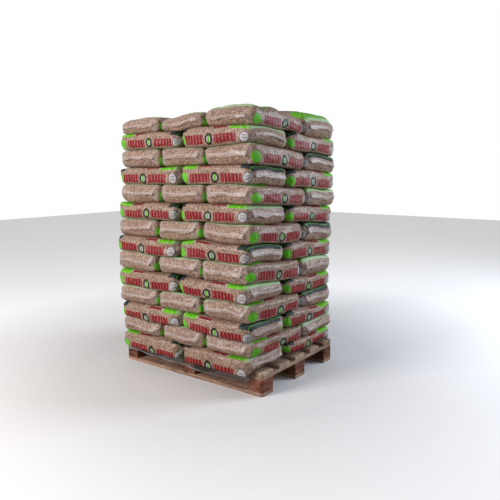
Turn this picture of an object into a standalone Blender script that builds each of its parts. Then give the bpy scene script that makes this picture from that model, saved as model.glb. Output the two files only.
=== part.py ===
"""A block pallet that carries fourteen layers of clear plastic sacks of wood pellets.

Units are metres and +Z is up. The origin is on the floor under the middle of the pallet. X runs along
the pallet's length and Y across it. Each layer holds five sacks: a row of two lengthwise sacks and a row
of three cross sacks. Each layer is turned half round from the one under it.
"""

import math
import random

import bmesh
import bpy
from mathutils import Matrix, Vector

REST_GAP = 0.0003

# Pallet sizes
PALLET_LENGTH = 1.200
PALLET_WIDTH = 0.800
BOARD_THICKNESS = 0.022
BLOCK_HEIGHT = 0.078
BLOCK_LENGTH = 0.105
BOARD_WIDTH = 0.107
DECK_BOARD_COUNT = 5
CORNER_CUT = 0.014
ARRIS = 0.0015

# Clear sheet that lies on the deck and is turned down over its long edges
SHEET_THICKNESS = 0.0005
SHEET_LENGTH = 1.150
SHEET_DROP = 0.041

# Sacks and their stack
LAYER_COUNT = 14
LAYER_HEIGHTS = (0.089, 0.095, 0.106, 0.1145, 0.1145, 0.1135, 0.1135, 0.1135, 0.1135,
                 0.112, 0.112, 0.112, 0.110)
SACK_LENGTH = 0.560
SACK_WIDTH = SACK_LENGTH * 2 / 3
SACK_OVERLAP = 0.004
SACK_CORNER_RADIUS = 0.062
CORNER_TIGHTENING = 1 / 3
CORNER_STEPS = 4
CREASE_ANGLE = 50.0
LOAD_WIDTH = SACK_LENGTH + SACK_WIDTH

# The middle layers spread a little under the load above, and every layer lies a little off the middle
SPREAD_LENGTH = 0.030
SPREAD_WIDTH = 0.014
SHIFTS_ALONG = (-0.010, 0.000, -0.008, -0.014, -0.018, -0.018, -0.019,
                -0.010, -0.006, 0.023, 0.010, 0.026, 0.020, 0.020)
SWAY_SEED = 11

# The load leans: its beds rise along X, more with every layer, and fall along Y, in full from the fifth
# bed up. The slopes turn about one point in plan
SLOPE_ALONG = 0.022
SLOPE_ACROSS = -0.058
FULL_SLOPE_BED = 5
SLOPE_CENTRE = (-0.55, -0.40)

# The lowest sacks hang over the long edges of the deck by this much
LIP_DROP = 0.034

# Profile of a sack: share of its height, and how far its long sides and its ends are drawn in there
PRESSED_PROFILE = ((0.0, 0.041, 0.038), (0.10, 0.016, 0.020), (0.27, 0.003, 0.009), (0.52, 0.0, 0.0),
                   (0.74, 0.003, 0.010), (0.90, 0.014, 0.023), (1.0, 0.040, 0.041))
LOWEST_PROFILE = ((0.0, 0.041, 0.038), (0.10, 0.016, 0.020), (0.25, 0.004, 0.009), (0.45, 0.0, 0.0),
                  (0.70, 0.004, 0.010), (0.89, 0.015, 0.023), (1.0, 0.040, 0.041))
DOMED_PROFILE = ((0.0, 0.041, 0.038), (0.09, 0.016, 0.020), (0.24, 0.003, 0.009), (0.45, 0.0, 0.0),
                 (0.66, 0.006, 0.014), (0.82, 0.024, 0.034), (0.93, 0.056, 0.068), (1.0, 0.115, 0.150))

# The top layer is not pressed, and its sacks differ in height: the front left, middle and right, and the back
TOP_FRONT_HEIGHTS = (0.106, 0.108, 0.130)
TOP_HEIGHT = 0.160
TOP_SLUMP = 0.022


def clear_scene():
    """Remove every object from the open file."""
    for item in list(bpy.data.objects):
        bpy.data.objects.remove(item, do_unlink=True)


def make_material(name, colour, roughness):
    """Return a material with a Principled shader of one colour and roughness."""
    material = bpy.data.materials.new(name)
    material.use_nodes = True
    shader = material.node_tree.nodes["Principled BSDF"]
    shader.inputs["Base Color"].default_value = (*colour, 1.0)
    shader.inputs["Roughness"].default_value = roughness
    shader.inputs["Metallic"].default_value = 0.0
    material.diffuse_color = (*colour, 1.0)
    return material


def add_object(name, shape, material=None):
    """Turn a bmesh into a named object of the scene and return it."""
    bmesh.ops.recalc_face_normals(shape, faces=shape.faces)
    mesh = bpy.data.meshes.new(name)
    shape.to_mesh(mesh)
    shape.free()
    if material is not None:
        mesh.materials.append(material)
    item = bpy.data.objects.new(name, mesh)
    bpy.context.scene.collection.objects.link(item)
    return item


def corner_points(x, y, cut):
    """Return the plan points of one corner: the corner itself, or the two ends of its cut."""
    if cut == 0.0:
        return [(x, y)]
    inner_x = x - math.copysign(cut, x)
    inner_y = y - math.copysign(cut, y)
    if x * y > 0:
        return [(x, inner_y), (inner_x, y)]
    return [(inner_x, y), (x, inner_y)]


def add_timber(name, x_range, y_range, z_range, material):
    """Add a sawn piece of wood, cut across where it holds a corner of the pallet."""
    outline = []
    for x, y in ((x_range[1], y_range[0]), (x_range[1], y_range[1]),
                 (x_range[0], y_range[1]), (x_range[0], y_range[0])):
        at_corner = (math.isclose(abs(x), PALLET_LENGTH / 2, abs_tol=REST_GAP)
                     and math.isclose(abs(y), PALLET_WIDTH / 2, abs_tol=REST_GAP))
        outline += corner_points(x, y, CORNER_CUT if at_corner else 0.0)
    shape = bmesh.new()
    floor = shape.faces.new([shape.verts.new((x, y, z_range[0])) for x, y in outline])
    raised = bmesh.ops.extrude_face_region(shape, geom=[floor])
    top = [part for part in raised["geom"] if isinstance(part, bmesh.types.BMVert)]
    bmesh.ops.translate(shape, verts=top, vec=(0, 0, z_range[1] - z_range[0]))
    bmesh.ops.recalc_face_normals(shape, faces=shape.faces)
    bmesh.ops.bevel(shape, geom=list(shape.edges), offset=ARRIS, segments=1, affect="EDGES")
    return add_object(name, shape, material)


def centred(middle, width):
    """Return the low and high end of a stretch of a width around its middle."""
    return middle - width / 2, middle + width / 2


def add_pallet(board_wood, block_wood):
    """Add the 20 boards and blocks of the pallet, from the floor up."""
    length = centred(0.0, PALLET_LENGTH)
    row_edge = PALLET_WIDTH / 2 - BOARD_WIDTH / 2
    rows = (("front", -row_edge), ("middle", 0.0), ("back", row_edge))
    column_edge = PALLET_LENGTH / 2 - BLOCK_LENGTH / 2
    columns = (("left", -column_edge), ("centre", 0.0), ("right", column_edge))
    block_floor = BOARD_THICKNESS
    stringer_floor = block_floor + BLOCK_HEIGHT
    deck_floor = stringer_floor + BOARD_THICKNESS

    for row, y in rows:
        add_timber(f"bottom_board_{row}", length, centred(y, BOARD_WIDTH),
                   (0.0, BOARD_THICKNESS - REST_GAP), board_wood)
        for column, x in columns:
            add_timber(f"block_{row}_{column}", centred(x, BLOCK_LENGTH), centred(y, BOARD_WIDTH),
                       (block_floor, stringer_floor - REST_GAP), block_wood)
    for column, x in columns:
        add_timber(f"stringer_{column}", centred(x, BLOCK_LENGTH), centred(0.0, PALLET_WIDTH),
                   (stringer_floor, deck_floor - REST_GAP), board_wood)

    step = 2 * row_edge / (DECK_BOARD_COUNT - 1)
    for index in range(DECK_BOARD_COUNT):
        add_timber(f"deck_board_{index + 1}", length, centred(index * step - row_edge, BOARD_WIDTH),
                   (deck_floor, deck_floor + BOARD_THICKNESS - REST_GAP), board_wood)
    return deck_floor + BOARD_THICKNESS


def add_sheet(deck_top, film):
    """Add the clear sheet: a thin strip across the deck, turned down over both long edges."""
    inner = PALLET_WIDTH / 2 + REST_GAP
    outer = inner + SHEET_THICKNESS
    hem = deck_top - SHEET_DROP
    low, high = deck_top, deck_top + SHEET_THICKNESS
    profile = ((-outer, hem), (-inner, hem), (-inner, low), (inner, low),
               (inner, hem), (outer, hem), (outer, high), (-outer, high))
    shape = bmesh.new()
    start = -SHEET_LENGTH / 2
    end_face = shape.faces.new([shape.verts.new((start, y, z)) for y, z in profile])
    pulled = bmesh.ops.extrude_face_region(shape, geom=[end_face])
    far = [part for part in pulled["geom"] if isinstance(part, bmesh.types.BMVert)]
    bmesh.ops.translate(shape, verts=far, vec=(SHEET_LENGTH, 0, 0))
    add_object("base_sheet", shape, film)
    return high


def sack_outline(half_x, half_y, side_inset, end_inset):
    """Return the plan points of a sack with round corners, drawn in at its long sides and its ends."""
    inset_x, inset_y = (end_inset, side_inset) if half_x > half_y else (side_inset, end_inset)
    radius = SACK_CORNER_RADIUS - (side_inset + end_inset) / 2 * CORNER_TIGHTENING
    reach_x = half_x - inset_x - radius
    reach_y = half_y - inset_y - radius
    points = []
    for quarter, (side_x, side_y) in enumerate(((1, 1), (-1, 1), (-1, -1), (1, -1))):
        for step in range(CORNER_STEPS):
            angle = math.pi / 2 * (quarter + step / (CORNER_STEPS - 1))
            points.append((side_x * reach_x + radius * math.cos(angle),
                           side_y * reach_y + radius * math.sin(angle)))
    return points


def slumped_top(y, top, slump):
    """Return the height of a sack's upper side at y: it falls away along the back half of the sack."""
    sack_middle = SACK_LENGTH / 2 - LOAD_WIDTH / 2
    share = min(max((y - sack_middle) / (SACK_LENGTH / 2), 0.0), 1.0)
    return top - slump * share * share * (3 - 2 * share)


def add_sack(centre, half_x, half_y, floor, top, profile, slump=0.0):
    """Add one closed sack: rings of points up its side profile, with a flat face on the first and last."""
    shape = bmesh.new()
    rings = []
    for share, side_inset, end_inset in profile:
        ring = []
        for x, y in sack_outline(half_x, half_y, side_inset, end_inset):
            place = Vector(centre) + Vector((x, y))
            height = floor + share * (slumped_top(place.y, top, slump) - floor)
            ring.append(shape.verts.new((place.x, place.y, height)))
        rings.append(ring)
    for lower, upper in zip(rings, rings[1:]):
        for index in range(len(lower)):
            after = (index + 1) % len(lower)
            shape.faces.new((lower[index], lower[after], upper[after], upper[index]))
    shape.faces.new(rings[0])
    shape.faces.new(rings[-1])
    return add_object("sack", shape)


def combine(base, other, operation):
    """Apply a Boolean of one object on another, and remove the second."""
    modifier = base.modifiers.new("combine", "BOOLEAN")
    modifier.operation = operation
    modifier.solver = "EXACT"
    modifier.object = other
    bpy.context.view_layer.update()
    evaluated = base.evaluated_get(bpy.context.evaluated_depsgraph_get())
    result = bpy.data.meshes.new_from_object(evaluated)
    base.modifiers.clear()
    base.data = result
    bpy.data.objects.remove(other, do_unlink=True)


def sack_places():
    """Return centre, half length and half width in plan of the five sacks of a layer.

    The two lengthwise sacks lie in front, at -Y, and the three cross sacks behind them.
    """
    front = -LOAD_WIDTH / 2 + SACK_WIDTH / 2
    back = LOAD_WIDTH / 2 - SACK_LENGTH / 2
    lengthwise = [((x * SACK_LENGTH / 2, front), SACK_LENGTH / 2, SACK_WIDTH / 2) for x in (-1, 1)]
    crosswise = [((x * SACK_WIDTH, back), SACK_WIDTH / 2, SACK_LENGTH / 2) for x in (-1, 0, 1)]
    return lengthwise + crosswise


def turned_places():
    """Return the places of a layer that is turned half round."""
    return [((-x, -y), half_length, half_width) for (x, y), half_length, half_width in sack_places()]


def layer_spread(number):
    """Return the share of the full spread that a layer has: little at the ends, most in the middle."""
    return math.sin(math.pi * (number - 0.5) / LAYER_COUNT)


def layer_shift(number, chance):
    """Return the sideways shift of a layer; across the pallet it stays in the box of the widest one."""
    spread = layer_spread(number)
    across = chance.uniform(-1.0, 1.0) * SPREAD_WIDTH / 2 * (1.0 - spread)
    return SHIFTS_ALONG[number - 1], across


def layer_height(number):
    """Return the height of a layer: the lowest ones are pressed flatter, and the top one is round."""
    return TOP_HEIGHT if number == LAYER_COUNT else LAYER_HEIGHTS[number - 1]


def lean_layer(layer, lowest_bed):
    """Move the points of a layer up or down, so that its beds slope as the load leans."""
    along_rise = sum(LAYER_HEIGHTS)
    across_rise = sum(LAYER_HEIGHTS[:FULL_SLOPE_BED])
    for vertex in layer.data.vertices:
        rise = max(vertex.co.z - lowest_bed, 0.0)
        along = SLOPE_ALONG * min(rise / along_rise, 1.0)
        across = SLOPE_ACROSS * min(rise / across_rise, 1.0)
        vertex.co.z += along * (vertex.co.x - SLOPE_CENTRE[0]) + across * (vertex.co.y - SLOPE_CENTRE[1])


def add_deck_cutter(sheet_top):
    """Add the block that keeps the lowest sacks clear of the deck and of the turned-down sheet."""
    half_width = PALLET_WIDTH / 2 + SHEET_THICKNESS + 2 * REST_GAP
    height = sheet_top + REST_GAP
    shape = bmesh.new()
    bmesh.ops.create_cube(shape, size=1.0)
    bmesh.ops.scale(shape, verts=shape.verts, vec=(2 * PALLET_LENGTH, 2 * half_width, height))
    bmesh.ops.translate(shape, verts=shape.verts, vec=(0, 0, height / 2))
    return add_object("deck_cutter", shape)


def layer_sack(number, place, floor, top):
    """Add one sack of a layer, with the shape that its layer gives it."""
    centre, half_length, half_width = place
    grown = (half_length + SACK_OVERLAP, half_width + SACK_OVERLAP)
    if number == 1:
        return add_sack(centre, *grown, floor - LIP_DROP, top, LOWEST_PROFILE)
    if number < LAYER_COUNT:
        return add_sack(centre, *grown, floor, top, PRESSED_PROFILE)
    if centre[1] > 0:
        return add_sack(centre, *grown, floor, top, DOMED_PROFILE)
    column = round(centre[0] / SACK_WIDTH)
    slump = TOP_SLUMP if column == 1 else 0.0
    return add_sack(centre, *grown, floor, floor + TOP_FRONT_HEIGHTS[column + 1], DOMED_PROFILE, slump)


def add_layer(number, floor, sheet_top, shift, film):
    """Add one layer of five sacks as one solid, with the grooves between the sacks in its faces."""
    places = sack_places() if number % 2 == 1 else turned_places()
    top = floor + layer_height(number) - REST_GAP
    sacks = [layer_sack(number, place, floor, top) for place in places]
    layer = sacks[0]
    for sack in sacks[1:]:
        combine(layer, sack, "UNION")
    spread = layer_spread(number)
    grow = Matrix.Diagonal((1 + SPREAD_LENGTH * spread / (2 * SACK_LENGTH),
                            1 + SPREAD_WIDTH * spread / LOAD_WIDTH, 1.0, 1.0))
    layer.data.transform(Matrix.Translation((*shift, 0.0)) @ grow)
    if number == 1:
        combine(layer, add_deck_cutter(sheet_top), "DIFFERENCE")
    lean_layer(layer, sheet_top + REST_GAP)
    layer.name = f"sack_layer_{number:02d}"
    layer.data.name = layer.name
    layer.data.materials.clear()
    layer.data.materials.append(film)
    layer.data.shade_smooth()
    layer.data.set_sharp_from_angle(angle=math.radians(CREASE_ANGLE))
    return layer


def build():
    """Build the pallet, the sheet on its deck and the layers of sacks."""
    clear_scene()
    board_wood = make_material("weathered_board", (0.38, 0.23, 0.15), 0.85)
    block_wood = make_material("red_brown_block", (0.17, 0.055, 0.027), 0.9)
    clear_film = make_material("clear_film", (0.60, 0.62, 0.64), 0.3)
    sack_film = make_material("pellet_sack", (0.40, 0.27, 0.19), 0.4)
    deck_top = add_pallet(board_wood, block_wood)
    sheet_top = add_sheet(deck_top, clear_film)
    chance = random.Random(SWAY_SEED)
    floor = sheet_top + REST_GAP
    for number in range(1, LAYER_COUNT + 1):
        add_layer(number, floor, sheet_top, layer_shift(number, chance), sack_film)
        floor += layer_height(number)


build()
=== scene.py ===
"""The looks of a pallet of clear pellet sacks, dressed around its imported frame.

Units are metres and +Z is up, as in the frame. Layers are counted from the deck. The front of the load is
its long side at -Y, and its right side is the short one at +X. Every sack is a surface of two parameters:
the station along its length and the angle round its section. Its lower and upper sides lie on the curved
beds between the layers, so that the sacks nest and none cuts into another.
"""

import logging
import math
from collections.abc import Callable
from dataclasses import dataclass
from enum import Enum
from functools import partial, reduce

import bpy
import numpy as np
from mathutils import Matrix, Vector


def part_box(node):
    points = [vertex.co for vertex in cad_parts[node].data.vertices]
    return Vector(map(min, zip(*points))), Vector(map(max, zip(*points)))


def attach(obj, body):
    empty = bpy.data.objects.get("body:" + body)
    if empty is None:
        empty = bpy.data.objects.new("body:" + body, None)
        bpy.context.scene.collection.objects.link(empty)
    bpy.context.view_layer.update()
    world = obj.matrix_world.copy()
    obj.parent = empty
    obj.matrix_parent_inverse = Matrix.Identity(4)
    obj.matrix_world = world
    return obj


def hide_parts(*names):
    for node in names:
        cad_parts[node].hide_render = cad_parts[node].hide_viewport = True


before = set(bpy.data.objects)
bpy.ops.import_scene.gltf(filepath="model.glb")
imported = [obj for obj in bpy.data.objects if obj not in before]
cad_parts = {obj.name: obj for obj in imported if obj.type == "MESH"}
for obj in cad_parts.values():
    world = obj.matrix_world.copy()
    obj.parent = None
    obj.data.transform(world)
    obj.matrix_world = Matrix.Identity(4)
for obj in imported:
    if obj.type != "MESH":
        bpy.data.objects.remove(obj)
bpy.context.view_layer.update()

log = logging.getLogger("pellet_pallet")

BODY = "root"
LAYER_COUNT = 14
SACK_NODE = "sack_layer_{:02d}"
WHITE = (1.0, 1.0, 1.0)

Array = np.ndarray
Colour = tuple[float, float, float]
Point = tuple[float, float, float]
Socket = bpy.types.NodeSocket
Sockets = dict[str, Socket]
Value = Socket | float | Colour
Draw = Callable[["NodeSheet", Sockets], Sockets]


def srgb(red: int, green: int, blue: int) -> Colour:
    """Turn a display colour, with channels from 0 to 255, into a linear one.

    Args:
        red: Its red.
        green: Its green.
        blue: Its blue.

    Returns:
        The linear colour, from 0 to 1.
    """
    shares = [channel / 255 for channel in (red, green, blue)]
    return tuple(((share + 0.055) / 1.055) ** 2.4 if share > 0.04 else share / 12.92 for share in shares)


def darker(colour: Colour, share: float) -> Colour:
    """Return a share of a linear colour."""
    return tuple(channel * share for channel in colour)


def smooth_step(value: Array, low: float, high: float) -> Array:
    """Rise from 0 at low to 1 at high along the cubic 3t^2 - 2t^3.

    Args:
        value: The numbers to read.
        low: Where the rise starts.
        high: Where it ends.

    Returns:
        The share for each number, from 0 to 1.
    """
    share = np.clip((value - low) / (high - low), 0.0, 1.0)
    return share * share * (3.0 - 2.0 * share)


@dataclass(frozen=True)
class Ripple:
    """A smooth wandering value: a few sine waves of random direction, length and phase, added up."""

    seed: int
    wavelength: float
    waves: int = 6
    flat: bool = False

    def at(self, x: Array, y: Array, z: Array | float = 0.0) -> Array:
        """Read the value at points.

        The value is the sum of sin(2 pi p.k + phase) over the waves, divided by the root of half their
        number, so it stays mostly between -1 and 1.

        Args:
            x: First coordinate of the points.
            y: Second coordinate.
            z: Third coordinate.

        Returns:
            One value for each point.
        """
        chance = np.random.default_rng(self.seed)
        heading = chance.normal(size=(self.waves, 3))
        if self.flat:
            heading[:, 2] = 0.0
        heading /= np.linalg.norm(heading, axis=1, keepdims=True)
        heading /= self.wavelength * chance.uniform(0.7, 1.45, (self.waves, 1))
        phase = chance.uniform(0.0, 2.0 * math.pi, self.waves)
        points = np.stack(np.broadcast_arrays(x, y, z), axis=-1)
        return np.sin(2.0 * math.pi * points @ heading.T + phase).sum(axis=-1) / math.sqrt(self.waves / 2.0)


def unit(vectors: Array) -> Array:
    """Return vectors scaled to length 1."""
    return vectors / np.maximum(np.linalg.norm(vectors, axis=-1, keepdims=True), 1e-12)


def grid_normals(grid: Array) -> Array:
    """Work out the outward unit normals of a ring grid: the cross product of its two directions.

    Args:
        grid: Points by ring and by place round the ring, the last place followed by the first.

    Returns:
        One unit vector for each point.
    """
    around = np.roll(grid, -1, axis=1) - np.roll(grid, 1, axis=1)
    along = np.gradient(grid, axis=0)
    return unit(np.cross(around, along))


def ring_walls(count: int, around: int) -> Array:
    """Join each ring of points to the next by quads.

    Point j of ring i has the number i * n + j. A quad joins rings i and i + 1 and points j and j + 1, with
    the last point of a ring followed by its first.

    Args:
        count: How many rings there are.
        around: How many points a ring has, n.

    Returns:
        The quads as rows of four point numbers.
    """
    ring, point = np.meshgrid(np.arange(count - 1), np.arange(around), indexing="ij")
    after = (point + 1) % around
    return np.stack([ring * around + point, ring * around + after,
                     (ring + 1) * around + after, (ring + 1) * around + point], axis=-1).reshape(-1, 4)


def write_marks(mesh: bpy.types.Mesh, marks: dict[str, Array | float], shape: tuple[int, int]) -> None:
    """Write named numbers on the points of a mesh of rings, for its finish to read.

    Args:
        mesh: The mesh.
        marks: The numbers by name, of any shape that spreads over the rings.
        shape: How many rings there are, and how many points a ring has.
    """
    for name, values in marks.items():
        attribute = mesh.attributes.new(name, "FLOAT", "POINT")
        attribute.data.foreach_set("value", np.broadcast_to(values, shape).astype(np.float32).ravel())


def finish_object(name: str, mesh: bpy.types.Mesh, material: bpy.types.Material) -> bpy.types.Object:
    """Link a mesh to the scene as a smooth object of one material.

    Args:
        name: The piece's name.
        mesh: Its mesh, in place.
        material: Its finish.

    Returns:
        The new object.
    """
    mesh.materials.append(material)
    mesh.shade_smooth()
    mesh.update()
    item = bpy.data.objects.new(name, mesh)
    bpy.context.scene.collection.objects.link(item)
    return item


@dataclass
class TubeMesh:
    """A closed mesh from rings of points along a path, each end zipped shut across its last ring."""

    name: str
    rings: Array
    u: Array
    v: Array
    marks: dict[str, Array | float]

    def ends(self) -> Array:
        """Zip both end rings shut.

        A quad joins the points that lie k steps below and above the edge point n / 4 with those k + 1
        steps away.

        Returns:
            The quads of the near end and then those of the far one, as rows of four point numbers.
        """
        count, around = self.rings.shape[:2]
        quarter = around // 4
        step = np.arange(around // 2)
        below, above = (quarter - step) % around, (quarter + step) % around
        below_next, above_next = (quarter - step - 1) % around, (quarter + step + 1) % around
        far = np.stack([below, above, above_next, below_next], axis=-1) + (count - 1) * around
        near = np.stack([below_next, above_next, above, below], axis=-1)
        return np.concatenate([near, far])

    def corner_map(self, corners: Array, wall_count: int) -> Array:
        """Place every face corner on the film. At the seam a wall's last corners count on past the girth.

        Args:
            corners: The point number of each face corner.
            wall_count: How many of the quads are walls.

        Returns:
            The metres along the film and round it, one row for each corner.
        """
        around = self.rings.shape[1]
        film = np.stack([self.u[corners // around], self.v[corners % around]], axis=-1)
        second = np.zeros(len(corners), dtype=bool)
        second[:wall_count * 4] = np.tile([False, True, True, False], wall_count)
        film[second & (corners % around == 0), 1] = self.v[-1]
        return film

    def build(self, material: bpy.types.Material) -> bpy.types.Object:
        """Make the object, with its film map, its marks and smooth shading.

        Args:
            material: The finish of the whole piece.

        Returns:
            The new object, at the origin.
        """
        count, around = self.rings.shape[:2]
        walls = ring_walls(count, around)
        end_rows = [list(dict.fromkeys(row)) for row in self.ends().tolist()]
        mesh = bpy.data.meshes.new(self.name)
        mesh.from_pydata(self.rings.reshape(-1, 3), [], walls.tolist() + end_rows)
        corners = np.zeros(len(mesh.loops), dtype=np.int32)
        mesh.loops.foreach_get("vertex_index", corners)
        layer = mesh.uv_layers.new(name="film")
        layer.data.foreach_set("uv", self.corner_map(corners, len(walls)).astype(np.float32).ravel())
        write_marks(mesh, self.marks, (count, around))
        return finish_object(self.name, mesh, material)


class Heading(Enum):
    """Which way the green header of a sack points, as a direction in plan."""

    RIGHT = (1.0, 0.0)
    LEFT = (-1.0, 0.0)
    BACK = (0.0, 1.0)
    FRONT = (0.0, -1.0)


@dataclass
class LayerBeds:
    """The curved beds that the layers of sacks lie on, worked out from the frame's own layers."""

    rim_droop: float = 0.006
    rim_width: float = 0.140
    lip_drop: float = 0.030
    lip_width: float = 0.060
    wander: float = 0.0040
    wander_length: float = 0.42
    seed: int = 40
    end_shares: tuple[float, ...] = (0.0, 0.35, 0.6, 0.8, 0.95)

    def __post_init__(self) -> None:
        """Read the beds and the plan of every layer from the frame."""
        self.boxes = [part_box(SACK_NODE.format(level)) for level in range(1, LAYER_COUNT + 1)]
        self.planes = [(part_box("base_sheet")[1].z, 0.0, 0.0)]
        self.planes += [self.top_plane(level) for level in range(1, LAYER_COUNT + 1)]
        self.deck_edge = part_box("deck_board_5")[1].y

    def top_plane(self, level: int) -> tuple[float, float, float]:
        """Read the flat top of a layer's node, which is its largest face that looks up.

        Args:
            level: The layer's number, counted from the deck.

        Returns:
            The height of the plane over the origin, and its slopes in X and Y.
        """
        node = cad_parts[SACK_NODE.format(level)]
        turn = node.matrix_world.to_3x3()
        upward = [face for face in node.data.polygons if (turn @ face.normal).normalized().z > 0.9]
        top = max(upward, key=lambda face: face.area)
        place, normal = node.matrix_world @ top.center, turn @ top.normal
        slope_x, slope_y = -normal.x / normal.z, -normal.y / normal.z
        return place.z - slope_x * place.x - slope_y * place.y, slope_x, slope_y

    def plan(self, level: int) -> tuple[float, float, float, float]:
        """Return the middle and the half sizes in plan of the layer under a bed."""
        low, high = self.boxes[max(level, 1) - 1]
        return (low.x + high.x) / 2, (low.y + high.y) / 2, (high.x - low.x) / 2, (high.y - low.y) / 2

    def height(self, level: int, x: Array, y: Array) -> Array:
        """Read the height of one bed.

        A bed is the sloping plane of its layer's flat top, less a droop that rises along a cubic over the
        outer rim of the load, plus a wander of a few millimetres. The lowest bed is the deck, and past the
        deck's long edges it falls away.

        Args:
            level: The bed's number: 0 is the deck, and 1 lies on the first layer.
            x: Plan coordinate along the pallet.
            y: Plan coordinate across it.

        Returns:
            The height of the bed at each point.
        """
        middle_x, middle_y, half_x, half_y = self.plan(level)
        base, slope_x, slope_y = self.planes[level]
        if level == 0:
            past_edge = smooth_step(np.abs(y), self.deck_edge, self.deck_edge + self.lip_width)
            return base - self.lip_drop * past_edge
        end_share = self.end_shares[level] if level < len(self.end_shares) else 1.0
        at_ends = smooth_step(np.abs(x - middle_x), half_x - self.rim_width, half_x) * end_share
        at_sides = smooth_step(np.abs(y - middle_y), half_y - self.rim_width, half_y)
        droop = self.rim_droop * np.maximum(at_ends, at_sides)
        wander = self.wander * Ripple(self.seed + level, self.wander_length, flat=True).at(x, y)
        return base + slope_x * x + slope_y * y - droop + wander


@dataclass(frozen=True)
class SackForm:
    """How full one half of a sack is: the power of its section, and how its sides and ends round off."""

    power: float = 8.5
    end_power: float = 7.8
    draw_in: float = 0.034
    end_reach: float = 0.034
    corner_reach: float = 0.060
    crown: float = 0.0


PRESSED_ABOVE = SackForm()
PRESSED_BELOW = SackForm(draw_in=0.046, end_reach=0.044)
DOMED_ABOVE = SackForm(power=6.0, end_power=4.6, draw_in=0.07, end_reach=0.058, corner_reach=0.120,
                       crown=0.07)


@dataclass(frozen=True)
class FilmRelief:
    """The small relief of a sack's film: heights, lengths of waves, and reaches from the weld."""

    gather: float = 0.0016
    gather_pitch: float = 0.041
    gather_reach: float = 0.035
    ridge_crease: float = 0.0022
    ridge_width: float = 0.12
    side_sink: float = 0.0034
    dent: float = 0.0022
    dent_length: float = 0.13
    lump: float = 0.0007
    lump_length: float = 0.028
    weld_wave: float = 0.0035
    weld_wave_length: float = 0.20
    weld_wave_reach: float = 0.03
    flutter: float = 0.25
    flutter_length: float = 0.12
    ear_reach: float = 0.035


@dataclass(frozen=True)
class Stations:
    """The stations along a sack, from the tip of the header's fin to that of the far one.

    They have their place along the sack, the distance from their weld, which is below zero on a fin, the
    end that they belong to (0 or 1), and whether that end lies open.
    """

    place: Array
    depth: Array
    end: Array
    is_open: Array

    def inside(self) -> Array:
        """Return how far each station lies inside its weld, 0 on the fins, as a column."""
        return np.maximum(self.depth, 0.0)[:, None]

    def inward(self) -> Array:
        """Return the direction from each station's end towards the middle, 1 or -1."""
        return np.where(self.end == 0, 1.0, -1.0)


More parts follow.
